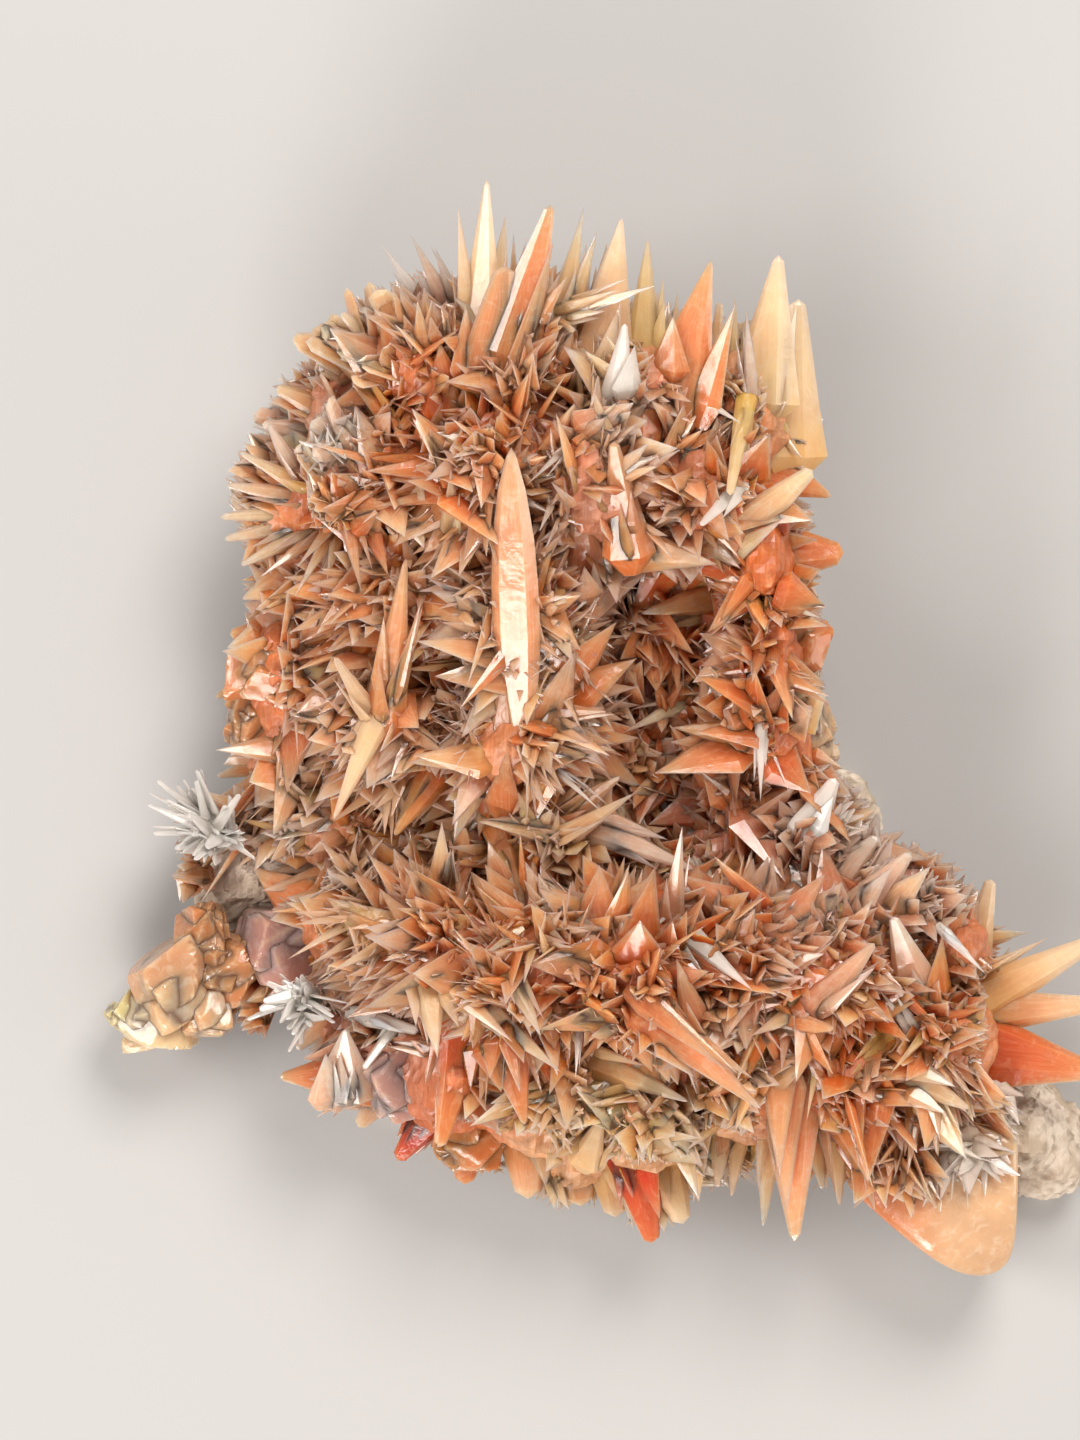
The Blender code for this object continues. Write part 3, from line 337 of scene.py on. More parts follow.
FACE = (
    # The shorter spindle, the pale crossed blades and what stands round them
    Crystal((38.6, 72.0), (40.8, 87.9), 3.4, 6.5, 0.6, 0.8, tone=Tone.SALMON),
    Crystal((37.2, 72.4), (33.7, 78.2), 2.4, 4.0, 1.0, tone=Tone.CREAM),
    Crystal((38.4, 73.6), (33.6, 62.2), 2.9, 1.5, 0.6, 0.8, tone=Tone.CREAM),
    Crystal((44.0, 55.4), (44.3, 62.0), 2.8, 6.0, tone=Tone.PEACH),
    Crystal((45.8, 77.4), (40.1, 77.0), 1.5, 2.0, tone=Tone.CREAM),
    Crystal((62.6, 89.5), (61.2, 99.2), 4.0, 5.2, 1.4, tone=Tone.SALMON),
    Crystal((58.5, 87.5), (57.8, 94.3), 4.2, 4.0, 0.8),
    Crystal((65.0, 87.5), (60.7, 89.7), 1.4, 3.5, tone=Tone.PEACH),
    Crystal((72.4, 93.7), (69.7, 91.0), 1.8, 2.5, 0.8, tone=Tone.WHITE),
    Crystal((70.8, 84.2), (64.1, 82.6), 4.0, 4.0, 0.4, 0.6, tone=Tone.PEACH),
    Crystal((68.6, 73.8), (62.2, 70.7), 2.0, 3.5, tone=Tone.PEACH),
    Crystal((75.9, 70.4), (75.8, 63.9), 1.4, 1.0, tone=Tone.WHITE),
    Crystal((45.3, 92.0), (45.3, 96.6), 2.2, 3.5, tone=Tone.PEACH),
    Crystal((50.0, 64.0), (50.5, 75.0), 5.0, 6.0, 2.4, 0.7, 0.9, Tone.SALMON),
    Crystal((56.5, 60.5), (63.6, 64.9), 2.6, 3.0, tone=Tone.PEACH),
    Crystal((57.0, 63.0), (62.0, 66.4), 3.0, 2.0, 0.6, 0.6, tone=Tone.SALMON),
    Crystal((60.0, 61.0), (69.2, 57.2), 3.0, 2.0, 0.8, tone=Tone.PINK),
    Crystal((50.0, 60.0), (53.5, 50.6), 2.2, 3.0, tone=Tone.TAN),
    Crystal((48.0, 59.0), (44.8, 59.4), 1.6, 3.0, tone=Tone.PEACH),
    Crystal((43.0, 66.0), (39.5, 60.5), 3.2, 0.5, 0.8, tone=Tone.ORANGE),
    Crystal((67.0, 53.0), (68.0, 61.6), 2.4, 4.0),
    Crystal((69.5, 50.0), (74.9, 45.4), 2.6, 2.5, tone=Tone.WHITE),
    Crystal((74.0, 60.0), (73.0, 66.5), 3.0, 2.0),
    Crystal((82.0, 44.5), (87.0, 50.0), 4.0, 2.0, 1.0),
    Crystal((79.5, 43.0), (74.8, 40.8), 2.6, 2.5, tone=Tone.PEACH),
    Crystal((78.0, 42.0), (83.0, 41.5), 3.2, 2.5, 0.8),
    Crystal((91.0, 47.0), (89.0, 52.5), 4.0, 1.5, 1.4, tone=Tone.PINK),
    Crystal((84.5, 57.0), (87.6, 60.4), 4.0, 0.5, 1.6, tone=Tone.PINK),
    Crystal((87.5, 55.0), (90.8, 58.8), 4.0, 0.5, 1.6, tone=Tone.PINK),
    Crystal((81.5, 62.5), (83.4, 66.2), 4.0, 0.5, 1.6, tone=Tone.WHITE),
)

LOWER_EDGE = (
    Crystal((34.4, 36.4), (34.6, 41.2), 5.4, 2.5, 0.6, tone=Tone.PINK),
    Crystal((35.4, 36.4), (27.8, 36.1), 5.6, -1.0, 1.2, 0.8, 0.7, Tone.SALMON),
    Crystal((33.0, 42.0), (29.4, 38.8), 3.6, 0.0, 1.4, depth=0.6, tone=Tone.PINK),
    Crystal((37.0, 34.6), (31.0, 34.0), 4.4, -1.0, 1.4, 0.8, 0.6, Tone.SALMON),
    Crystal((38.0, 34.0), (35.6, 30.8), 4.4, -1.0, 2.2, 0.8, 0.6, Tone.PINK),
    Crystal((43.0, 45.0), (43.9, 38.6), 3.4, 3.0, tone=Tone.CREAM),
    Crystal((48.6, 43.4), (56.1, 37.3), 2.9, 2.5, tone=Tone.PEACH),
    Crystal((52.2, 45.0), (54.1, 40.9), 2.2, 2.0, tone=Tone.PEACH),
    Crystal((50.5, 41.0), (52.5, 32.0), 5.4, 0.5, 0.8, tone=Tone.DEEP),
    Crystal((46.2, 40.5), (44.0, 29.5), 5.6, 0.0, 2.0, 0.6, tone=Tone.ORANGE),
    Crystal((43.0, 32.0), (39.6, 27.6), 4.0, -2.0, 2.4, 0.8, 0.6, Tone.RED),
    Crystal((47.0, 31.0), (46.4, 25.2), 5.2, -1.0, 2.8, 0.8, 0.6, Tone.ORANGE),
    Crystal((52.5, 30.0), (52.8, 23.8), 6.0, -1.0, 4.4, 0.8, 0.6, Tone.PEACH),
    Crystal((57.6, 28.0), (58.2, 23.0), 5.6, -1.0, 4.0, 0.8, 0.6, Tone.PEACH),
    Crystal((61.0, 27.0), (61.6, 21.9), 5.0, -1.0, 3.4, 0.8, 0.6, Tone.CREAM),
    Crystal((63.5, 27.5), (65.2, 19.5), 5.6, -1.0, 2.4, 0.8, 0.7, Tone.RED),
    Crystal((66.4, 27.0), (68.4, 21.4), 4.8, -1.0, 2.8, 0.8, 0.7, Tone.CREAM),
    Crystal((59.2, 29.5), (60.4, 33.2), 3.2, 3.0, tone=Tone.CREAM),
    Crystal((58.2, 38.6), (68.7, 34.2), 3.8, 2.5, 0.5, 0.6, tone=Tone.PEACH),
    Crystal((64.8, 43.0), (75.7, 33.8), 4.2, 1.5, 0.5, 0.6, tone=Tone.SALMON),
    Crystal((69.2, 42.6), (67.4, 48.6), 3.4, 3.0, tone=Tone.SALMON),
    Crystal((78.4, 39.0), (79.4, 19.9), 6.8, -3.0, 1.5, 0.7, tone=Tone.SALMON),
    Crystal((77.2, 33.0), (76.4, 21.2), 3.2, -3.0, 0.5, 0.7, 0.75, Tone.PEACH),
    Crystal((72.0, 30.5), (71.8, 25.1), 2.8, -1.0, 0.6, 0.7, 0.7, Tone.CREAM),
    Crystal((74.0, 30.0), (73.2, 24.2), 2.4, -1.0, 0.5, 0.7, 0.7, Tone.CREAM),
    Crystal((81.5, 31.0), (82.4, 24.8), 3.0, -1.0, 0.8, 0.7, 0.6, Tone.PEACH),
    Crystal((83.8, 31.0), (84.1, 23.2), 3.2, -1.0, 0.5, 0.7, 0.6, Tone.CREAM),
    Crystal((88.5, 40.5), (84.7, 36.6), 2.4, 2.0, tone=Tone.YELLOW),
    Crystal((92.0, 36.0), (96.5, 33.5), 3.4, 1.0, 0.8, tone=Tone.PEACH),
)

PAINTED_GLINTS = (
    # Small slivers painted white and yellow as glints of light on facets
    Crystal((54.8, 97.0), (52.7, 95.0), 0.8, 1.0, depth=1.04, tone=Tone.WHITE),
    Crystal((53.0, 93.3), (55.0, 92.2), 0.9, 1.0, depth=1.04, tone=Tone.WHITE),
    Crystal((58.5, 87.2), (58.7, 85.0), 0.7, 1.0, depth=1.04, tone=Tone.WHITE),
    Crystal((58.8, 84.0), (56.6, 82.0), 0.7, 1.0, depth=1.04, tone=Tone.WHITE),
    Crystal((56.5, 66.2), (60.0, 63.0), 0.9, 1.0, depth=1.04, tone=Tone.WHITE),
    Crystal((57.4, 66.4), (60.8, 63.5), 0.7, 1.0, depth=1.04, tone=Tone.WHITE),
    Crystal((67.5, 53.6), (64.6, 50.8), 1.0, 1.5, depth=1.04, tone=Tone.WHITE),
    Crystal((38.0, 42.0), (41.9, 41.0), 1.9, 0.5, 1.4, depth=1.05, tone=Tone.WHITE),
    Crystal((38.6, 40.2), (36.4, 37.2), 1.3, 0.5, 1.0, depth=1.05, tone=Tone.WHITE),
    Crystal((48.2, 27.7), (50.6, 26.8), 1.0, 0.5, 0.6, depth=1.05, tone=Tone.WHITE),
    Crystal((57.8, 40.7), (57.5, 36.6), 1.0, 1.0, depth=1.04, tone=Tone.WHITE),
    Crystal((95.9, 49.2), (98.2, 46.8), 1.2, 0.5, depth=1.04, tone=Tone.WHITE),
    Crystal((91.0, 39.5), (88.6, 37.0), 1.1, 1.5, depth=1.04, tone=Tone.YELLOW),
    Crystal((81.2, 36.2), (80.4, 32.4), 1.0, 1.5, depth=1.0, tone=Tone.YELLOW),
)

FANS = (
    # The left rosette, and the blunt blades of the shoulder above it
    Fan((33.0, 92.6), (110, 255), 10.5, 1.6, 150, Tone.PEACH, (-15, 45), 0.9, 1.6),
    Fan((33.8, 92.2), (-60, 240), 5.5, 2.6, 90, Tone.ORANGE, (10, 60), 1.0, 0.2, 2.4),
    Fan((38.0, 107.0), (70, 205), 8.5, 3.2, 60, Tone.PEACH, (-8, 50), 0.9, 3.4, 3.0),
    Fan((33.0, 102.0), (100, 210), 7.0, 3.0, 50, Tone.PINK, (-8, 50), 0.9, 3.2, 2.6),
    Fan((33.0, 98.5), (0, 360), 4.0, 0.8, 30, Tone.WHITE, (5, 60), 1.0, 0.3, 1.8),
    Fan((35.0, 102.0), (0, 360), 3.2, 0.9, 14, Tone.WHITE, (5, 60)),
    Fan((28.4, 102.0), (60, 250), 3.2, 0.9, 16, Tone.WHITE, (0, 60), 0.85),
    Fan((25.6, 79.0), (90, 270), 3.0, 0.8, 12, Tone.WHITE, (0, 50), 0.85),
    Fan((28.7, 60.4), (90, 300), 3.2, 0.8, 18, Tone.WHITE, (5, 60)),
    Fan((33.6, 55.8), (120, 320), 3.2, 0.7, 16, Tone.WHITE, (5, 60)),
    # Teeth that rise behind the upper rim
    Fan((44.0, 108.0), (60, 165), 8.0, 1.8, 26, Tone.SALMON, (5, 55), 0.95, 0.2, 2.2),
    Fan((52.0, 104.0), (35, 150), 9.0, 2.0, 34, Tone.SALMON, (8, 60), 1.0, 0.2, 2.6),
    Fan((60.0, 103.0), (20, 150), 9.5, 1.8, 32, Tone.PEACH, (5, 60), 1.0, 0.2, 2.4),
    Fan((67.5, 100.0), (30, 140), 10.0, 2.2, 30, Tone.SALMON, (5, 55), 1.0, 0.2, 2.4),
    Fan((74.0, 101.0), (10, 130), 7.0, 1.8, 26, Tone.PEACH, (0, 55), 0.9, 0.4, 2.2),
    # Needles of the middle field, and pale ones round the foot of the spindle
    Fan((51.8, 75.0), (0, 360), 4.0, 1.0, 30, Tone.WHITE, (10, 60), 1.0, 0.3, 1.8),
    Fan((46.5, 79.0), (0, 360), 4.5, 0.45, 90, Tone.TAN, (5, 60), 1.0, 0.1, 3.4),
    Fan((46.5, 71.0), (0, 360), 4.5, 0.45, 80, Tone.TAN, (5, 60), 1.0, 0.1, 3.4),
    Fan((43.5, 87.0), (0, 360), 4.5, 0.6, 60, Tone.PEACH, (5, 60), 1.0, 0.1, 3.0),
    Fan((56.5, 91.0), (0, 360), 5.0, 0.8, 50, Tone.PINK, (5, 55), 1.0, 0.1, 3.0),
    Fan((58.0, 80.0), (0, 360), 5.0, 0.7, 50, Tone.PEACH, (5, 55), 1.0, 0.1, 3.0),
    # The bundle painted white as a glint, and the pale needles of the valley
    Fan((69.6, 57.4), (-76, -54), 12.0, 1.0, 16, Tone.WHITE, (8, 24), 1.0, 0.3),
    Fan((37.0, 52.5), (140, 330), 7.0, 0.7, 60, Tone.CREAM, (5, 55), 1.0, 0.1, 1.6),
    Fan((36.0, 56.0), (30, 230), 6.0, 0.9, 36, Tone.TAN, (5, 55), 1.0, 0.1, 2.0),
    Fan((40.0, 65.0), (200, 340), 6.0, 0.8, 30, Tone.CREAM, (5, 45), 1.0, 0.1, 1.8),
    # The pale slope on the right
    Fan((82.0, 62.0), (-20, 110), 4.5, 1.2, 30, Tone.WHITE, (10, 60), 0.95, 0.4, 2.2),
    Fan((86.0, 57.0), (0, 100), 4.5, 1.4, 30, Tone.PINK, (10, 60), 0.95, 0.4, 2.4),
    Fan((92.0, 53.0), (10, 100), 4.5, 1.4, 26, Tone.PINK, (10, 60), 0.95, 0.4, 2.4),
    Fan((97.0, 45.0), (-40, 80), 6.0, 1.2, 34, Tone.PEACH, (0, 55), 0.9, 0.3, 2.2),
    # Fine pale crystals along the bottom
    Fan((72.6, 28.4), (190, 350), 4.0, 0.5, 70, Tone.CREAM, (-10, 45), 0.85, 0.1, 2.0),
    Fan((82.6, 28.0), (200, 340), 4.5, 0.6, 50, Tone.CREAM, (-10, 45), 0.85, 0.1, 2.0),
    Fan((64.6, 26.6), (0, 360), 3.0, 0.8, 50, Tone.CREAM, (0, 60), 1.0, 0.2, 2.6),
    Fan((58.0, 33.0), (0, 360), 4.0, 0.8, 40, Tone.CREAM, (5, 60), 1.0, 0.2, 2.4),
    Fan((48.0, 27.5), (0, 360), 3.0, 0.7, 24, Tone.CREAM, (10, 60), 1.0, 0.2, 1.8),
    # Pale and salmon blades over the blunt crystal
    Fan((91.0, 29.0), (180, 330), 7.0, 1.8, 40, Tone.SALMON, (0, 45), 1.0, 0.2, 3.4),
    Fan((96.5, 29.0), (180, 350), 6.0, 1.6, 44, Tone.WHITE, (0, 45), 1.0, 0.2, 3.0),
    Fan((101.5, 34.0), (200, 360), 5.0, 1.4, 40, Tone.WHITE, (0, 50), 0.9, 0.2, 3.0),
    # Pale needles in the middle of the lower lobe
    Fan((54.0, 52.0), (0, 360), 6.0, 0.9, 40, Tone.PEACH, (5, 55), 1.0, 0.1, 2.6),
    Fan((66.0, 58.0), (90, 260), 7.0, 0.9, 30, Tone.PEACH, (5, 50), 1.0, 0.1, 2.2),
    Fan((80.0, 38.0), (180, 360), 6.0, 1.2, 30, Tone.SALMON, (0, 50), 0.95, 0.2, 2.4),
)

ZONES = (
    # The upper block
    Zone(50.0, 106.0, 7.0, Tone.SALMON, 0.8),
    # The cream along the upper rim is partly the crystals' paler colour and partly painted glow of
    # light through them
    Zone(62.0, 112.0, 4.0, Tone.CREAM, 1.2),
    Zone(77.0, 110.0, 5.0, Tone.CREAM, 1.6),
    Zone(80.0, 101.0, 3.5, Tone.CREAM, 1.0),
    Zone(46.0, 101.0, 6.0, Tone.ORANGE, 0.7),
    Zone(30.0, 104.0, 5.0, Tone.PINK, 1.0),
    Zone(33.0, 98.5, 2.6, Tone.WHITE, 1.4),
    Zone(34.0, 92.5, 4.6, Tone.ORANGE, 1.2),
    Zone(25.0, 91.0, 4.0, Tone.PEACH, 1.0),
    Zone(62.0, 92.0, 6.0, Tone.PINK, 0.9),
    Zone(62.0, 101.0, 5.0, Tone.PINK, 1.2),
    # The deep orange of the hollow right of the middle is partly the crystals' colour and partly
    # painted shade
    Zone(74.5, 86.0, 6.0, Tone.ORANGE, 1.2),
    Zone(74.0, 78.0, 8.0, Tone.ORANGE, 2.0),
    Zone(66.0, 76.0, 7.0, Tone.DEEP, 3.0),
    Zone(79.0, 93.0, 5.0, Tone.ORANGE, 1.0),
    Zone(46.0, 76.0, 7.5, Tone.TAN, 1.4),
    Zone(40.0, 84.0, 4.0, Tone.SALMON, 0.6),
    Zone(26.0, 75.0, 5.0, Tone.SALMON, 1.0),
    Zone(36.0, 68.0, 4.5, Tone.PINK, 0.8),
    Zone(58.0, 80.0, 5.0, Tone.PEACH, 0.6),
    # The valley and the pale slope
    Zone(26.0, 61.0, 5.5, Tone.PINK, 1.6),
    Zone(33.0, 60.0, 6.0, Tone.PEACH, 1.6),
    Zone(35.0, 55.0, 5.0, Tone.TAN, 1.0),
    Zone(54.0, 61.0, 7.0, Tone.PEACH, 1.4),
    Zone(83.0, 62.0, 5.0, Tone.PINK, 1.0),
    Zone(90.0, 54.0, 6.0, Tone.PINK, 0.6),
    Zone(87.0, 57.0, 6.0, Tone.MAUVE, 1.2),
    Zone(57.0, 62.0, 6.0, Tone.PEACH, 0.8),
    Zone(80.0, 55.0, 5.0, Tone.MAUVE, 1.0),
    Zone(72.0, 60.0, 5.0, Tone.MAUVE, 0.7),
    # The lower lobe
    Zone(48.0, 46.0, 6.0, Tone.ORANGE, 0.9),
    Zone(38.0, 38.0, 5.0, Tone.MAUVE, 1.3),
    Zone(46.0, 33.0, 5.0, Tone.ORANGE, 1.5),
    Zone(40.5, 28.5, 2.6, Tone.RED, 2.0),
    Zone(58.0, 29.0, 6.0, Tone.CREAM, 2.6),
    Zone(69.0, 29.0, 5.0, Tone.CREAM, 2.6),
    Zone(66.0, 47.0, 7.0, Tone.ORANGE, 1.4),
    Zone(88.0, 42.0, 8.0, Tone.ORANGE, 1.4),
    Zone(100.0, 40.0, 6.0, Tone.PEACH, 1.0),
    Zone(95.0, 30.0, 5.0, Tone.PEACH, 0.8),
    Zone(18.0, 46.0, 7.0, Tone.SALMON, 1.4),
)
ZONE_GROUND = Tone.SALMON
ZONE_GROUND_WEIGHT = 0.6

# The broad cream crystal with the rounded end, as a plan outline
BLUNT_OUTLINE = ((84.6, 25.4), (89.3, 20.9), (94.2, 17.2), (97.0, 16.0), (99.6, 16.1),
                 (101.2, 17.3), (101.8, 19.4), (101.8, 30.0), (92.0, 34.0))

# Where the crystals of each block radiate from: plan middle, and how far it reaches
GROWTH_CENTRES = ((53.0, 86.0, 30.0), (30.0, 92.0, 9.0), (66.0, 50.0, 34.0))

ROCK_LUMPS = (
    Lump(38, 96, 0, 13, 13, 9),
    Lump(57, 98, 0, 16, 12, 11),
    Lump(70, 84, 0, 12, 17, 9),
    Lump(44, 76, 0, 17, 15, 8),
    Lump(60, 60, 0, 20, 15, 8),
    Lump(57, 86, 0, 9, 9, 8),
    Lump(79.5, 59.5, 0, 9.0, 9.5, 7),
    Lump(25.0, 55.6, 0, 7.0, 4.6, 8),
    Lump(34, 57, 0, 14, 9, 8),
    Lump(48, 42, 0, 17, 12, 7),
    Lump(70, 40, 0, 17, 13, 8),
    Lump(90, 40, 0, 13, 11, 8),
    # Bare rock at the lower right, past the crystals
    Lump(101, 30, 0, 8.0, 6.0, 11),
    Lump(105, 27.4, 0, 4.6, 3.5, 8.5),
    Lump(103.8, 31, 0, 3.0, 3.2, 8.0),
)

SPRAYS = (
    Spray(
        node="clear_spray_left",
        foot=(21.8, 60.6, 13.5),
        tips=((17.4, 66.8, 14.5), (20.4, 66.4, 17.5), (15.4, 63.6, 15.0), (14.8, 60.6, 14.5),
              (16.4, 58.4, 14.5), (19.6, 57.4, 18.0), (23.6, 65.2, 18.0), (24.4, 60.0, 20.0),
              (18.4, 61.8, 20.5)),
    ),
    Spray(
        node="clear_spray_low",
        foot=(30.6, 44.2, 13.0),
        tips=((26.2, 46.2, 14.0), (26.0, 43.4, 14.5), (27.4, 41.4, 14.0), (29.6, 40.0, 14.5),
              (29.6, 47.2, 17.0), (33.4, 42.6, 17.5), (29.4, 43.8, 18.5)),
    ),
)


def to_world(points: Array) -> Array:
    """Turn plan places and heights in millimetres into world metres.

    Args:
        points: places in millimetres, one row each.

    Returns:
        The same places in metres from the model's origin.
    """
    return (points - np.array([*PLAN_MIDDLE, 0.0])) * MM


def lump_arrays(lumps: tuple[Lump, ...]) -> Array:
    """Return knobs as one array, with a row of six numbers each."""
    return np.array([[getattr(lump, item.name) for item in fields(lump)] for lump in lumps])


def crust_height(places: Array) -> Array:
    """Height of the crust over plan places: the highest of the ellipsoids there.

    Args:
        places: plan places in millimetres, one row each.

    Returns:
        The height of the crust over each place, in millimetres.
    """
    rows = lump_arrays(CRUST_LUMPS)
    offset = (places[:, None, :2] - rows[None, :, :2]) / rows[None, :, 3:5]
    share = (offset ** 2).sum(axis=2)
    dome = rows[None, :, 2] + rows[None, :, 5] * np.sqrt(np.clip(1.0 - share, 0.0, 1.0))
    return np.maximum(np.where(share < 1.0, dome, LOWEST_CRUST).max(axis=1), LOWEST_CRUST)


def plan_margin(places: Array) -> Array:
    """How far plan places lie inside the crust's outline, in millimetres.

    For each knob it is one less the scaled distance from the middle, times the smaller
    half-size, and the largest of these counts. It is below zero outside the outline.

    Args:
        places: plan places in millimetres, one row each.

    Returns:
        The margin of each place.
    """
    rows = lump_arrays(CRUST_LUMPS)
    offset = (places[:, None, :2] - rows[None, :, :2]) / rows[None, :, 3:5]
    distance = np.sqrt((offset ** 2).sum(axis=2))
    return ((1.0 - distance) * rows[None, :, 3:5].min(axis=2)).max(axis=1)


def zone_colour(places: Array) -> Array:
    """Colour of the crystals at plan places, as a blend of the colour zones.

    Each zone weighs its strength times e to the minus squared distance over reach
    squared, and the ground tone weighs the same everywhere.

    Args:
        places: plan places in millimetres, one row each.

    Returns:
        Linear colours, one row each.
    """
    middles = np.array([(zone.x, zone.y) for zone in ZONES])
    reaches = np.array([zone.reach for zone in ZONES])
    strengths = np.array([zone.strength for zone in ZONES])
    tones = np.array([zone.tone.value for zone in ZONES])
    squared = ((places[:, None, :2] - middles[None]) ** 2).sum(axis=2)
    weights = strengths * np.exp(-squared / reaches ** 2)
    total = weights.sum(axis=1, keepdims=True) + ZONE_GROUND_WEIGHT
    ground = np.array(ZONE_GROUND.value) * ZONE_GROUND_WEIGHT
    return (weights @ tones + ground) / total


def outward(places: Array) -> Array:
    """The way crystals lean at plan places: level, away from the nearest growth centre.

    Args:
        places: plan places in millimetres, one row each.

    Returns:
        Level vectors that grow from nothing at the centre to one at its reach.
    """
    centres = np.array(GROWTH_CENTRES)
    offset = (places[:, None, :2] - centres[None, :, :2]) / centres[None, :, 2:]
    nearest = np.linalg.norm(offset, axis=2).argmin(axis=1)
    level = offset[np.arange(len(places)), nearest]
    return np.column_stack([level, np.zeros(len(places))])


def lattice_noise(points: Array, cells_per_mm: float, seed: int) -> Array:
    """Value noise: a seeded number at each lattice corner, blended between the eight.

    Args:
        points: places in millimetres, one row each.
        cells_per_mm: how many lattice cells there are in a millimetre.
        seed: picks another pattern.

    Returns:
        A number from 0 to 1 for each place.
    """
    scaled = points * cells_per_mm
    corner = np.floor(scaled).astype(np.int64)
    share = scaled - corner
    share = share * share * (3.0 - 2.0 * share)
    total = np.zeros(len(points))
    for step in np.ndindex(2, 2, 2):
        x, y, z = (corner + np.array(step)).T
        mixed = (x * 73856093) ^ (y * 19349663) ^ (z * 83492791) ^ (seed * 2654435761)
        mixed = (mixed ^ (mixed >> 13)) * 1274126177
        value = ((mixed ^ (mixed >> 16)) & 0xFFFFFF) / float(0xFFFFFF)
        near = np.where(np.array(step) == 1, share, 1.0 - share).prod(axis=1)
        total += value * near
    return total


def unit(vectors: Array) -> Array:
    """Return vectors at length one."""
    length = np.linalg.norm(vectors, axis=-1, keepdims=True)
    return vectors / np.maximum(length, 1e-9)


def painted_shade_tone(tone: Array) -> Array:
    """Return tones as painted shade for deep places, darker and more saturated: the less grey one is,
    the stronger it gets.
    """
    strength = 1.0 - tone.min(axis=-1, keepdims=True) / tone.max(axis=-1, keepdims=True)
    return tone ** PAINTED_SHADE_POWER * (1.0 + strength * np.array(PAINTED_SHADE_GAIN))


@dataclass
class Surface:
    """Mesh arrays in plan millimetres: points, face corners, and what is on them."""

    points: Array
    corners: Array
    starts: Array
    along: Array
    tint: Array

    @staticmethod
    def joined(surfaces: list["Surface"]) -> "Surface":
        """Put several surfaces into one set of arrays.

        Args:
            surfaces: the surfaces, in order.

        Returns:
            One surface with them all.
        """
        point_counts = np.cumsum([0] + [len(item.points) for item in surfaces[:-1]])
        corner_counts = np.cumsum([0] + [len(item.corners) for item in surfaces[:-1]])
        return Surface(
            np.concatenate([item.points for item in surfaces]),
            np.concatenate([item.corners + n for item, n in zip(surfaces, point_counts)]),
            np.concatenate([item.starts + n for item, n in zip(surfaces, corner_counts)]),
            np.concatenate([item.along for item in surfaces]),
            np.concatenate([item.tint for item in surfaces]),
        )

    @property
    def triangles(self) -> int:
        """How many triangles the faces make."""
        return len(self.corners) - 2 * len(self.starts)

    def mesh(self, name: str) -> bpy.types.Mesh:
        """Put the arrays in a mesh, with the tint and the lengths along each crystal.

        Args:
            name: the mesh's name.

        Returns:
            The mesh, in world metres.
        """
        mesh = bpy.data.meshes.new(name)
        mesh.vertices.add(len(self.points))
        mesh.vertices.foreach_set("co", to_world(self.points).ravel())
        mesh.loops.add(len(self.corners))
        mesh.loops.foreach_set("vertex_index", self.corners.astype(np.int32))
        mesh.polygons.add(len(self.starts))
        mesh.polygons.foreach_set("loop_start", self.starts.astype(np.int32))
        mesh.update(calc_edges=True)
        layer = mesh.uv_layers.new(name=ALONG)
        layer.uv.foreach_set("vector", self.along.astype(np.float32).ravel())
        paint = mesh.color_attributes.new(name=TINT, type="FLOAT_COLOR", domain="POINT")
        opaque = np.ones((len(self.points), 1))
        paint.data.foreach_set("color", np.hstack([self.tint, opaque]).ravel())
        mesh.shade_flat()
        return mesh


def show_piece(
    name: str,
    mesh: bpy.types.Mesh,
    material: bpy.types.Material,
    node: str,
) -> bpy.types.Object:
    """Make a finished piece that rides on the body and stands for a solid.

    Args:
        name: the piece's name.
        mesh: its mesh, in world metres.
        material: its finish.
        node: the solid that it stands for.

    Returns:
        The piece.
    """
    item = bpy.data.objects.new(name, mesh)
    bpy.context.scene.collection.objects.link(item)
    mesh.materials.clear()
    mesh.materials.append(material)
    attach(item, BODY)
    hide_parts(node)
    log.info("%s: %d faces", name, len(mesh.polygons))
    return item


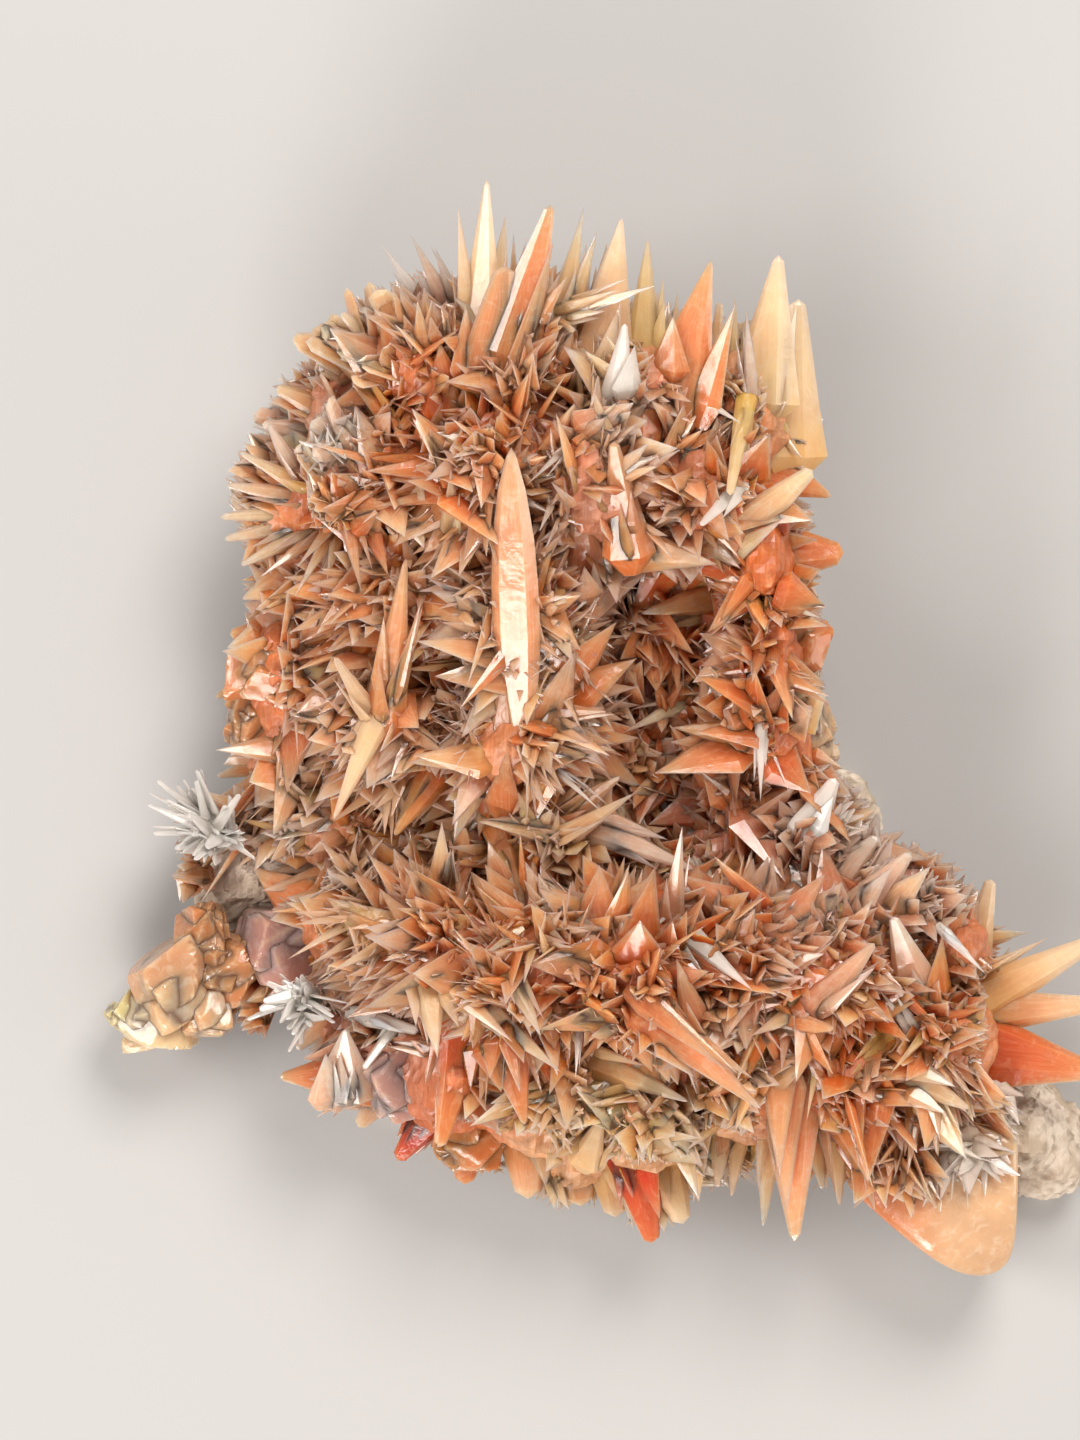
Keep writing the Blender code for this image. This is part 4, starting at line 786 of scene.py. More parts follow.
@dataclass
class Crystals:
    """Crystals as arrays, one row each, in plan millimetres.

    front is the side that a flattened crystal shows, roll turns it about its own axis,
    and fade is how much paler the tip is than the foot, partly its thinner colour and
    partly a painted highlight.
    """

    foot: Array
    tip: Array
    width: Array
    blunt: Array
    thick: Array
    roll: Array
    tone: Array
    fade: Array

    def __len__(self) -> int:
        """How many crystals there are."""
        return len(self.foot)

    def take(self, rows: Array) -> "Crystals":
        """Return some of the crystals, by number or by a mask."""
        return Crystals(*(getattr(self, item.name)[rows] for item in fields(self)))

    @staticmethod
    def joined(groups: list["Crystals"]) -> "Crystals":
        """Return several groups of crystals as one."""
        return Crystals(*(np.concatenate([getattr(group, item.name) for group in groups])
                          for item in fields(Crystals)))

    @staticmethod
    def from_rows(rows: tuple[Crystal, ...], chance: np.random.Generator) -> "Crystals":
        """Stand the listed crystals on the crust as the part's source does.

        Args:
            rows: the listed crystals.
            chance: the seeded source of small differences.

        Returns:
            The crystals as arrays.
        """
        count = len(rows)
        foot = np.array([row.foot for row in rows])
        tip = np.array([row.tip for row in rows])
        width = np.array([row.width for row in rows])
        depth = np.array([row.depth for row in rows])
        lift = np.array([row.lift for row in rows])
        low = crust_height(foot) * depth - CRYSTAL_SINK
        high = np.maximum(low + lift, FLOOR_MARGIN + width / 2.0)
        zone = zone_colour(tip)
        own = np.array([row.tone.value if row.tone else (0, 0, 0) for row in rows])
        has_own = np.array([row.tone is not None for row in rows])
        tone = np.where(has_own[:, None], own, zone)
        tone = tone * chance.uniform(0.9, 1.08, (count, 1))
        start, end = np.column_stack([foot, low]), np.column_stack([tip, high])
        root = start - unit(end - start) * ROOT - np.array([0.0, 0.0, ROOT / 2.0])
        return Crystals(
            root,
            end,
            width,
            np.array([row.blunt for row in rows]) * BLUNT_SHARE,
            np.array([row.thick for row in rows]) * THICK_SHARE,
            chance.uniform(-0.25, 0.25, count),
            tone,
            chance.uniform(0.25, 0.6, count),
        )

    def satellites(self, count: int, chance: np.random.Generator) -> "Crystals":
        """Smaller crystals grown nearly parallel along each crystal's body.

        Each starts some way up the body at its side, leans out a little, and is shorter
        and narrower than its parent, so the parent's outline steps towards the tip.

        Args:
            count: how many there are on each crystal.
            chance: the seeded source of their differences.

        Returns:
            The small crystals, without their parents.
        """
        parent = self.take(np.repeat(np.arange(len(self)), count))
        total = len(parent)
        axis = parent.tip - parent.foot
        length = np.linalg.norm(axis, axis=1, keepdims=True)
        aside = unit(np.cross(axis, chance.normal(size=(total, 3))))
        start = chance.uniform(0.0, 0.35, (total, 1))
        out = aside * parent.width[:, None] * chance.uniform(0.15, 0.5, (total, 1))
        lean = aside * length * chance.uniform(0.0, 0.12, (total, 1))
        reach = (1.0 - start) * chance.uniform(0.4, 0.85, (total, 1))
        foot = parent.foot + axis * start + out * (1.0 - 0.5 * start)
        return Crystals(
            foot,
            foot + axis * reach + lean,
            parent.width * chance.uniform(0.35, 0.8, total),
            np.zeros(total),
            chance.uniform(0.3, 0.6, total),
            chance.uniform(-0.8, 0.8, total),
            np.clip(parent.tone * chance.uniform(0.88, 1.15, (total, 1)), 0.0, 0.97),
            chance.uniform(0.2, 0.7, total),
        )


@dataclass(frozen=True)
class DogtoothForm:
    """Turns crystals into faceted dogteeth whose sides taper to a tip.

    The ring at share s of the length has its radius rise evenly from the foot to the
    widest place, and then fall as one less t to the power of the belly, where t runs
    from the widest place to the tip. A section is given as the angle and radius of each
    edge, from the ridge at the front.
    """

    levels: tuple[float, ...]
    section: tuple[tuple[float, float], ...]
    foot_share: float = 0.85
    widest_at: float = 0.2
    belly: float = 1.08
    girth: float = 1.0
    unevenness: float = 0.10
    ledge: float = 0.0
    pale_foot: float = 0.0
    pale_tip: float = 1.0

    def surface(self, crystals: Crystals, chance: np.random.Generator) -> Surface:
        """Work out the mesh arrays of all the crystals at once.

        Args:
            crystals: the crystals.
            chance: the seeded source of small differences between their sides.

        Returns:
            One surface with every crystal on it, each a closed body.
        """
        count, rings, sides = len(crystals), len(self.levels), len(self.section)
        axis = crystals.tip - crystals.foot
        length = np.linalg.norm(axis, axis=1)
        forward = unit(axis)
        across = np.cross(forward, np.array([0.0, 0.0, 1.0]))
        upright = np.linalg.norm(across, axis=1, keepdims=True) < 0.05
        across = unit(np.where(upright, np.array([1.0, 0.0, 0.0]), across))
        front = np.cross(across, forward)
        turn = crystals.roll[:, None]
        first = front * np.cos(turn) + across * np.sin(turn)
        second = across * np.cos(turn) - front * np.sin(turn)

        cap = np.clip(0.35 * crystals.blunt / length, 0.03, 0.12)
        cap = np.where(crystals.blunt > 0.0, cap, 1.0 - self.levels[-1])
        share = np.array(self.levels)[None] * ((1.0 - cap) / self.levels[-1])[:, None]
        widest = (crystals.width / 2.0 * self.girth)[:, None]
        end = (crystals.blunt / 2.0)[:, None]
        rise = np.clip(share / self.widest_at, 0.0, 1.0)
        fall = np.clip((share - self.widest_at) / (1.0 - self.widest_at), 0.0, 1.0)
        radius = widest * (self.foot_share + (1.0 - self.foot_share) * rise)
        radius = np.where(fall > 0.0, end + (widest - end) * (1.0 - fall ** self.belly), radius)
        radius = radius * (1.0 + self.ledge * chance.uniform(-1.0, 1.0, radius.shape))

        angles, corner = np.array(self.section).T
        angles = np.radians(angles)
        uneven = 1.0 + self.unevenness * chance.uniform(-1.0, 1.0, (count, 1, sides))
        spread = radius[:, :, None] * corner[None, None] * uneven
        in_first = (spread * np.cos(angles))[..., None] * first[:, None, None, :]
        in_first *= crystals.thick[:, None, None, None]
        in_second = (spread * np.sin(angles))[..., None] * second[:, None, None, :]
        spine = crystals.foot[:, None, :] + axis[:, None, :] * share[:, :, None]
        ring_points = (spine[:, :, None, :] + in_first + in_second).reshape(count, -1, 3)
        points = np.concatenate([ring_points, crystals.tip[:, None, :]], axis=1)

        per_crystal = rings * sides + 1
        base = (np.arange(count) * per_crystal)[:, None, None]
        ring = np.arange(rings - 1)[:, None] * sides
        here, after = np.arange(sides), (np.arange(sides) + 1) % sides
        quads = np.stack([ring + here, ring + after, ring + sides + after,
                          ring + sides + here], axis=-1).reshape(-1, 4)
        last = (rings - 1) * sides
        top = np.full(sides, rings * sides)
        fans = np.stack([last + here, last + after, top], axis=-1)
        corners = np.concatenate([quads.ravel(), fans.ravel(), here[::-1]])
        lengths = np.array([4] * len(quads) + [3] * sides + [sides])
        offsets = np.concatenate([[0], np.cumsum(lengths)[:-1]])
        all_corners = (base[:, :, 0] + corners[None]).ravel()
        all_starts = (np.arange(count)[:, None] * lengths.sum() + offsets[None]).ravel()

        # Millimetres round and along each crystal, moved to a place of its own
        round_it = np.concatenate([
            np.stack([here, here + 1, here + 1, here], axis=-1)[None].repeat(rings - 1, 0).ravel(),
            np.stack([here, here + 1, here + 0.5], axis=-1).ravel(), here[::-1],
        ]) / sides
        level = np.arange(rings - 1)
        up_it = np.concatenate([
            np.stack([level, level, level + 1, level + 1], axis=-1)[:, None].repeat(sides, 1).ravel(),
            np.array([rings - 1, rings - 1, rings] * sides), np.zeros(sides),
        ]).astype(int)
        heights = np.column_stack([share, np.ones(count)])[:, up_it] * length[:, None]
        girth = crystals.width[:, None] * math.pi * round_it[None]
        place = chance.uniform(0.0, 400.0, (count, 2))
        along = np.stack([girth + place[:, :1], heights + place[:, 1:]], axis=-1).reshape(-1, 2)

        steps = np.concatenate([np.repeat(share, sides, axis=1), np.ones((count, 1))], axis=1)
        tone = crystals.tone[:, None, :]
        # Painted shade: the tint is darker and more saturated below the crust's top and towards the
        # foot
        roof = crust_height(crystals.foot)[:, None] * (1.0 - steps)
        roof = roof + crust_height(crystals.tip)[:, None] * steps
        painted_shade = np.clip((roof + 0.5 - points[..., 2]) / PAINTED_SHADE_DEPTH, 0.0, 1.0)
        painted_shade = np.maximum(painted_shade, 0.7 * (1.0 - steps ** 0.6))[..., None]
        tint = painted_shade_tone(tone) * painted_shade + tone * (1.0 - painted_shade)
        # The tip is mixed paler, partly its thinner colour and partly a painted highlight; the
        # spindle's foot is paler in its own colour
        low = self.pale_foot * np.clip((0.42 - steps) / 0.1, 0.0, 1.0)
        fade = crystals.fade * np.clip(5.0 * crystals.tone[:, 2] / crystals.tone[:, 0], 0.15, 1.0)
        mix = np.maximum(fade[:, None] * self.pale_tip * steps ** 1.3, low)[..., None]
        tint = tint * (1.0 - mix) + (0.3 * tone + 0.7 * np.array(PALE_TIP_AND_HIGHLIGHT)) * mix
        return Surface(points.reshape(-1, 3), all_corners, all_starts, along,
                       tint.reshape(-1, 3))


BLADE_SECTION = ((28, 0.98), (88, 1.04), (140, 0.98), (214, 1.0), (271, 1.04), (318, 1.0))
DOGTOOTH_SECTION = ((0, 1.05), (62, 0.84), (118, 1.05), (182, 0.84), (240, 1.05), (300, 0.84))
NEEDLE_SECTION = ((0, 1.0), (80, 0.9), (150, 1.0), (210, 1.0), (280, 0.9))
SPINDLE_FORM = DogtoothForm((0.0, 0.12, 0.24, 0.36, 0.52, 0.68, 0.84, 0.95), BLADE_SECTION, 0.35,
                            0.3, 3.6, unevenness=0.1, ledge=0.03, pale_foot=0.35, pale_tip=0.3)
GREAT_FORM = DogtoothForm((0.0, 0.15, 0.4, 0.7, 0.93), BLADE_SECTION, 0.35, 0.15, 1.0, 1.2,
                          unevenness=0.14, ledge=0.03)
BLADE_FORM = DogtoothForm((0.0, 0.2, 0.6, 0.95), BLADE_SECTION, 0.6, 0.2, 1.0)
MIDDLE_FORM = DogtoothForm((0.0, 0.2, 0.6, 0.94), DOGTOOTH_SECTION)
NEEDLE_FORM = DogtoothForm((0.0, 0.25, 0.9), NEEDLE_SECTION, widest_at=0.25)


class Nodes:
    """Adds shader nodes to one material."""

    def __init__(self, name: str) -> None:
        """Start a material with nothing but its output node."""
        self.material = bpy.data.materials.new(name)
        self.material.use_nodes = True
        self.tree = self.material.node_tree
        self.tree.nodes.clear()

    def add(self, kind: str, settings: dict | None = None,
            inputs: dict | None = None) -> bpy.types.Node:
        """Add a node, set it up, and then give its sockets values or links.

        Args:
            kind: the node's type.
            settings: its own settings; a ramp's stops are given as "stops".
            inputs: a value, a socket or a Field for each socket, by name or number.

        Returns:
            The node.
        """
        node = self.tree.nodes.new(kind)
        for name, value in (settings or {}).items():
            if name == "stops":
                self._set_stops(node, value)
            else:
                setattr(node, name, value)
        for name, value in (inputs or {}).items():
            socket = node.inputs[name]
            if isinstance(value, Field):
                value = value.socket
            if isinstance(value, bpy.types.NodeSocket):
                self.tree.links.new(value, socket)
            else:
                socket.default_value = value
        return node

    @staticmethod
    def _set_stops(node: bpy.types.Node, stops: list[tuple[float, float]]) -> None:
        """Set a ramp's grey stops, as (place, brightness) pairs."""
        elements = node.color_ramp.elements
        while len(elements) < len(stops):
            elements.new(0.5)
        for element, (place, bright) in zip(elements, stops):
            element.position = place
            element.color = (bright, bright, bright, 1.0)

    def noise(self, vector: bpy.types.NodeSocket, scale: float, detail: float = 3.0,
              roughness: float = 0.5, distortion: float = 0.0) -> "Field":
        """Add a noise texture and return how high it is from 0 to 1."""
        node = self.add("ShaderNodeTexNoise", {}, {
            "Vector": vector, "Scale": scale, "Detail": detail,
            "Roughness": roughness, "Distortion": distortion})
        return Field(self, node.outputs["Fac"])

    def ramp(self, value: "Field", stops: list[tuple[float, float]]) -> "Field":
        """Add a ramp that turns a number into another by stops."""
        node = self.add("ShaderNodeValToRGB", {"stops": stops}, {"Fac": value})
        return Field(self, node.outputs["Color"])

    def blend(self, share: "Field | float", first: object, second: object,
              mode: str = "MIX") -> bpy.types.NodeSocket:
        """Mix two colours and return the socket of the result."""
        node = self.add("ShaderNodeMix", {"data_type": "RGBA", "blend_type": mode},
                        {0: share, 6: first, 7: second})
        return node.outputs[2]

    def stretched(self, vector: bpy.types.NodeSocket,
                  scale: tuple[float, float, float]) -> bpy.types.NodeSocket:
        """Stretch texture coordinates by a scale for each axis."""
        node = self.add("ShaderNodeMapping", {}, {"Vector": vector, "Scale": scale})
        return node.outputs["Vector"]


class Field:
    """A number that varies over a surface, with the usual signs of arithmetic."""

    def __init__(self, nodes: Nodes, socket: bpy.types.NodeSocket) -> None:
        """Wrap a node's output socket."""
        self.nodes = nodes
        self.socket = socket

    def _math(self, operation: str, first: object, second: object = 0.0) -> "Field":
        """Add a Math node on two numbers or fields."""
        node = self.nodes.add("ShaderNodeMath", {"operation": operation},
                              {0: first, 1: second})
        return Field(self.nodes, node.outputs[0])

    def __add__(self, other: "Field | float") -> "Field":
        """Add a number or a field."""
        return self._math("ADD", self, other)

    __radd__ = __add__

    def __mul__(self, other: "Field | float") -> "Field":
        """Multiply by a number or a field."""
        return self._math("MULTIPLY", self, other)

    __rmul__ = __mul__

    def __sub__(self, other: "Field | float") -> "Field":
        """Take away a number or a field."""
        return self._math("SUBTRACT", self, other)

    def __rsub__(self, other: float) -> "Field":
        """Take this field away from a number."""
        return self._math("SUBTRACT", other, self)

    def __pow__(self, other: float) -> "Field":
        """Raise to a power."""
        return self._math("POWER", self, other)


@dataclass(frozen=True)
class CalciteFinish:
    """Glassy calcite that takes its colour from the piece's tint.

    see_through is plain transmission, glow the light that spreads inside, veil the share
    of pale fractures in it, partly the calcite's own cracks and partly painted glints,
    lines the depth of the fine lines along each crystal, and streak how much they show
    in its colour.
    """

    name: str
    see_through: float = 0.24
    glow: float = 0.95
    roughness: float = 0.07
    veil: float = 0.5
    lines: float = 0.14
    streak: float = 0.3
    refraction: float = 1.58
    scatter: Colour = (1.0, 0.85, 0.72)

    def material(self) -> bpy.types.Material:
        """Make the finish as a node material.

        Returns:
            The material.
        """
        nodes = Nodes(self.name)
        place = nodes.add("ShaderNodeTexCoord").outputs["Object"]
        along = nodes.add("ShaderNodeUVMap", {"uv_map": ALONG}).outputs["UV"]
        tint = nodes.add("ShaderNodeVertexColor", {"layer_name": TINT}).outputs["Color"]
        cloud = nodes.noise(place, 260.0, 4.0, 0.55)
        fracture = nodes.noise(place, 900.0, 3.0, 0.6, 0.8)
        stripes = nodes.noise(nodes.stretched(along, (3.2, 0.22, 1.0)), 1.0, 3.0, 0.6)

        streaks = nodes.ramp(stripes, [(0.48, 0.0), (0.62, 1.0)])
        # The pale veils are partly the calcite's own cracks and partly painted glints
        veils_and_painted_glints = nodes.ramp(fracture, [(0.50, 0.0), (0.72, 1.0)]) * 0.8 + streaks * self.streak
        veils_and_painted_glints = veils_and_painted_glints * self.veil
        shade = cloud * 0.5 + stripes * self.streak + (0.74 - 0.5 * self.streak)
        shaded = nodes.add("ShaderNodeVectorMath", {"operation": "SCALE"},
                           {0: tint, "Scale": shade}).outputs["Vector"]
        paler = nodes.add("ShaderNodeGamma", {}, {"Color": shaded, "Gamma": 0.5}).outputs[0]
        colour = nodes.blend(veils_and_painted_glints, shaded, paler)
        roughness = self.roughness + cloud * 0.12 + veils_and_painted_glints * 0.2
        relief = stripes * self.lines + fracture * 0.5 + cloud * 1.5
        bump = nodes.add("ShaderNodeBump", {}, {
            "Strength": 0.4, "Distance": 0.2 * MM, "Height": relief})
        shader = nodes.add("ShaderNodeBsdfPrincipled", {}, {
            "Base Color": colour,
            "Roughness": roughness,
            "IOR": self.refraction,
            "Specular IOR Level": 0.42,
            "Transmission Weight": self.see_through,
            "Subsurface Weight": self.glow,
            "Subsurface Radius": self.scatter,
            "Subsurface Scale": 3.0 * MM,
            "Coat Weight": 0.12,
            "Coat Roughness": 0.06,
            "Normal": bump.outputs["Normal"],
        })
        nodes.add("ShaderNodeOutputMaterial", {}, {"Surface": shader.outputs["BSDF"]})
        return nodes.material


@dataclass(frozen=True)
class RockFinish:
    """Grey-white rock with pits, pale grains and a tan stain."""

    name: str = "pitted_rock"

    def material(self) -> bpy.types.Material:
        """Make the finish as a node material.

        Returns:
            The material.
        """
        nodes = Nodes(self.name)
        place = nodes.add("ShaderNodeTexCoord").outputs["Object"]
        stain = nodes.noise(place, 140.0, 4.0, 0.6)
        grain = nodes.noise(place, 1500.0, 3.0, 0.65)
        cells = nodes.add("ShaderNodeTexVoronoi", {"feature": "F1"},
                          {"Vector": place, "Scale": 650.0})
        pits = nodes.ramp(Field(nodes, cells.outputs["Distance"]), [(0.08, 0.0), (0.42, 1.0)])
        patches = nodes.ramp(stain, [(0.40, 0.0), (0.62, 1.0)])
        ground = nodes.blend(patches, (0.50, 0.40, 0.30, 1.0), (0.88, 0.76, 0.64, 1.0))
        speckled = nodes.blend(grain * 0.5, ground, (0.36, 0.25, 0.16, 1.0))
        # The pits are painted darker, as shade in them
        colour = nodes.blend((1.0 - pits) * 0.55, speckled, (0.20, 0.13, 0.08, 1.0))
        bump = nodes.add("ShaderNodeBump", {}, {
            "Strength": 0.8, "Distance": 0.4 * MM, "Height": pits * 0.7 + grain * 0.6})
        shader = nodes.add("ShaderNodeBsdfPrincipled", {}, {
            "Base Color": colour,
            "Roughness": 0.72 + grain * 0.2,
            "Normal": bump.outputs["Normal"],
        })
        nodes.add("ShaderNodeOutputMaterial", {}, {"Surface": shader.outputs["BSDF"]})
        return nodes.material


@dataclass(frozen=True)
class Globe:
    """A grid of latitudes and longitudes, closed at both poles."""

    rows: int
    columns: int

    def ways(self) -> Array:
        """Work out the direction of each grid point.

        It is (cos a cos b, cos a sin b, sin a), where a runs from pole to pole and b all
        the way round. The poles come last.

        Returns:
            The directions, one row each.
        """
        latitude = np.linspace(-math.pi / 2, math.pi / 2, self.rows + 1)[1:-1]
        longitude = np.arange(self.columns) * math.tau / self.columns
        ring = np.stack([
            np.cos(latitude)[:, None] * np.cos(longitude)[None],
            np.cos(latitude)[:, None] * np.sin(longitude)[None],
            np.repeat(np.sin(latitude)[:, None], self.columns, axis=1),
        ], axis=-1).reshape(-1, 3)
        return np.concatenate([ring, [[0, 0, -1.0]], [[0, 0, 1.0]]])

    def surface(self, points: Array, tint: Array) -> Surface:
        """Put faces on globes whose points have been moved into place.

        Args:
            points: the places of each globe's points, in plan millimetres.
            tint: their colours.

        Returns:
            The globes as one surface.
        """
        here = np.arange(self.columns)
        after = (here + 1) % self.columns
        bands = (np.arange(self.rows - 2) * self.columns)[:, None]
        quads = np.stack([bands + here, bands + after, bands + self.columns + after,
                          bands + self.columns + here], axis=-1).reshape(-1, 4)
        last = (self.rows - 2) * self.columns
        pole = (self.rows - 1) * self.columns
        low = np.stack([after, here, np.full(self.columns, pole)], axis=-1)
        high = np.stack([last + here, last + after, np.full(self.columns, pole + 1)], axis=-1)
        corners = np.concatenate([quads.ravel(), low.ravel(), high.ravel()])
        lengths = np.array([4] * len(quads) + [3] * 2 * self.columns)
        offsets = np.concatenate([[0], np.cumsum(lengths)[:-1]])
        number = np.arange(len(points))[:, None]
        all_corners = (number * points.shape[1] + corners[None]).ravel()
        all_starts = (number * lengths.sum() + offsets[None]).ravel()
        flat = points.reshape(-1, 3)
        return Surface(flat, all_corners, all_starts, flat[all_corners][:, :2],
                       tint.reshape(-1, 3))


KNOB_GLOBE = Globe(18, 28)
BROKEN_GLOBE = Globe(32, 54)


@dataclass
class FusedSkin:
    """Knobs melted into one closed skin and roughened, as arrays and as a mesh."""

    lumps: tuple[Lump, ...]
    voxel: float = 0.75
    waves: tuple[tuple[float, float], ...] = ((0.22, 1.6), (0.55, 1.1), (1.1, 0.8))
    seed: int = 3
    inset: tuple[float, float, float] = (0.0, 0.0, 0.0)

    def knobs(self) -> Surface:
        """Lay a globe over each ellipsoid: its middle plus the half-sizes times the ways.

        Returns:
            All the ellipsoids, each closed at its poles.
        """
        rows = lump_arrays(self.lumps)
        rows[:, 3:] = np.maximum(rows[:, 3:] - np.array(self.inset), THINNEST_LUMP)
        points = rows[:, None, :3] + rows[:, None, 3:] * KNOB_GLOBE.ways()[None]
        return KNOB_GLOBE.surface(points, np.ones_like(points))

    def fused_mesh(self, name: str) -> bpy.types.Mesh:
        """Melt the knobs together, and push the skin in and out along its normals.

        Args:
            name: the mesh's name.

        Returns:
            The closed skin in world metres.
        """
        helper = bpy.data.objects.new(name + "_knobs", self.knobs().mesh(name + "_knobs"))
        bpy.context.scene.collection.objects.link(helper)
        melt = helper.modifiers.new("melt", "REMESH")
        melt.mode = "VOXEL"
        melt.voxel_size = self.voxel * MM
        bpy.context.view_layer.update()
        evaluated = helper.evaluated_get(bpy.context.evaluated_depsgraph_get())
        mesh = bpy.data.meshes.new_from_object(evaluated)
        bpy.data.objects.remove(helper, do_unlink=True)
        mesh.name = name
        points, normals = mesh_points(mesh)
        push = np.zeros(len(points))
        for number, (cells, height) in enumerate(self.waves):
            push += (lattice_noise(points, cells, self.seed + number) - 0.5) * height
        moved = points + normals * push[:, None]
        mesh.vertices.foreach_set("co", to_world(moved).ravel())
        mesh.shade_flat()
        mesh.update()
        return mesh


def mesh_points(mesh: bpy.types.Mesh) -> tuple[Array, Array]:
    """Read a mesh's points and their normals.

    Args:
        mesh: a mesh in world metres.

    Returns:
        The points in plan millimetres, and the unit normals.
    """
    points = np.empty(len(mesh.vertices) * 3)
    mesh.vertices.foreach_get("co", points)
    normals = np.empty(len(mesh.vertices) * 3)
    mesh.vertices.foreach_get("normal", normals)
    plan = points.reshape(-1, 3) / MM + np.array([*PLAN_MIDDLE, 0.0])
    return plan, normals.reshape(-1, 3)


def cut_flat(mesh: bpy.types.Mesh, height: float) -> None:
    """Saw a closed mesh flat at a height in metres, and close the cut."""
    bm = bmesh.new()
    bm.from_mesh(mesh)
    geometry = bm.verts[:] + bm.edges[:] + bm.faces[:]
    bmesh.ops.bisect_plane(bm, geom=geometry, plane_co=(0.0, 0.0, height),
                           plane_no=(0.0, 0.0, -1.0), clear_outer=True)
    rim = [edge for edge in bm.edges if edge.is_boundary]
    bmesh.ops.triangle_fill(bm, edges=rim, normal=(0.0, 0.0, -1.0))
    bmesh.ops.recalc_face_normals(bm, faces=bm.faces[:])
    bm.to_mesh(mesh)
    bm.free()


def paint_tint(mesh: bpy.types.Mesh, colours: Array) -> None:
    """Give a mesh its tint, one colour a point."""
    paint = mesh.color_attributes.new(name=TINT, type="FLOAT_COLOR", domain="POINT")
    opaque = np.ones((len(mesh.vertices), 1))
    paint.data.foreach_set("color", np.hstack([colours, opaque]).ravel())


@dataclass
class Crust:
    """The skin under the needles, painted dark orange as the shade between them, and where needles
    can grow on it.
    """

    finish: CalciteFinish
    chance: np.random.Generator
    centres: Array = field(default_factory=lambda: np.empty((0, 3)))
    normals: Array = field(default_factory=lambda: np.empty((0, 3)))
    areas: Array = field(default_factory=lambda: np.empty(0))

    def build(self) -> None:
        """Make the skin, and keep the places and normals of its faces."""
        mesh = FusedSkin(CRUST_LUMPS, inset=SKIN_INSET).fused_mesh("crust_skin")
        cut_flat(mesh, 0.4 * MM)
        points, _ = mesh_points(mesh)
        speckle = lattice_noise(points, 0.8, 40)[:, None]
        tone = zone_colour(points)
        # The skin is painted much darker than its tone, as the shade under the tufts
        paint_tint(mesh, (tone + painted_shade_tone(tone)) * (0.22 + 0.18 * speckle))
        add_flat_map(mesh)
        show_piece("crust_skin", mesh, self.finish.material(), "calcite_cluster")
        count = len(mesh.polygons)
        centres, normals, areas = np.empty(count * 3), np.empty(count * 3), np.empty(count)
        mesh.polygons.foreach_get("center", centres)
        mesh.polygons.foreach_get("normal", normals)
        mesh.polygons.foreach_get("area", areas)
        self.centres = centres.reshape(-1, 3) / MM + np.array([*PLAN_MIDDLE, 0.0])
        self.normals = normals.reshape(-1, 3)
        self.areas = areas

    def places(self, count: int, weights: Array) -> tuple[Array, Array]:
        """Pick random places on the skin, in proportion to area and weight.

        Args:
            count: how many places.
            weights: a weight for each face of the skin.

        Returns:
            The places in plan millimetres, and the normals there.
        """
        share = self.areas * weights
        rows = self.chance.choice(len(share), count, p=share / share.sum())
        return self.centres[rows], self.normals[rows]


def add_flat_map(mesh: bpy.types.Mesh) -> None:
    """Give a mesh a map of its plan in millimetres, for the lines on the crystals."""
    layer = mesh.uv_layers.new(name=ALONG)
    points, _ = mesh_points(mesh)
    corners = np.empty(len(mesh.loops), np.int32)
    mesh.loops.foreach_get("vertex_index", corners)
    layer.uv.foreach_set("vector", points[corners, :2].astype(np.float32).ravel())


@dataclass
class NamedCrystals:
    """The crystals that are placed one by one, with the smaller ones grown on them."""

    finish: bpy.types.Material
    pale: bpy.types.Material
    chance: np.random.Generator

    def build(self) -> "Clearing":
        """Make one piece for each side of the specimen, and two for the pale crystals.

        Returns:
            The room over all of them, for what grows between.
        """
        placed = []
        groups = {
            "upper_rim_crystals": (UPPER_RIM, GREAT_FORM, 6),
            "left_edge_crystals": (LEFT_EDGE, GREAT_FORM, 4),
            "right_edge_crystals": (RIGHT_EDGE, GREAT_FORM, 2),
            "long_spindle": (SPINDLES, SPINDLE_FORM, 1),
            "face_crystals": (FACE, GREAT_FORM, 4),
            "lower_edge_crystals": (LOWER_EDGE, GREAT_FORM, 5),
        }
        every = [row for rows, _, _ in groups.values() for row in rows]
        # The glint slivers are painted white and yellow as highlights, and go with the white crystals
        whites = tuple(row for row in every if row.tone is Tone.WHITE) + PAINTED_GLINTS
        creams = tuple(row for row in every if row.tone in (Tone.CREAM, Tone.YELLOW))
        groups["white_crystals_and_painted_glints"] = (whites, BLADE_FORM, 2)
        groups["cream_crystals"] = (creams, GREAT_FORM, 3)
        for name, (rows, form, satellites) in groups.items():
            pale = name in ("white_crystals_and_painted_glints", "cream_crystals")
            rows = tuple(row for row in rows if pale or row.tone not in PALE_TONES)
            crystals = Crystals.from_rows(rows, self.chance)
            placed.append(crystals)
            extra = limited(crystals.satellites(satellites, self.chance))
            surfaces = [form.surface(crystals, self.chance),
                        BLADE_FORM.surface(extra, self.chance)]
            mesh = Surface.joined(surfaces).mesh(name)
            show_piece(name, mesh, self.pale if pale else self.finish, "calcite_cluster")
        return Clearing(Crystals.joined(placed))


def limited(crystals: Crystals) -> Crystals:
    """Keep crystals' tips above the floor and below the highest one."""
    tip = crystals.tip.copy()
    tip[:, 2] = np.clip(tip[:, 2], FLOOR_MARGIN, HIGHEST_TIP)
    crystals.tip = tip
    return crystals


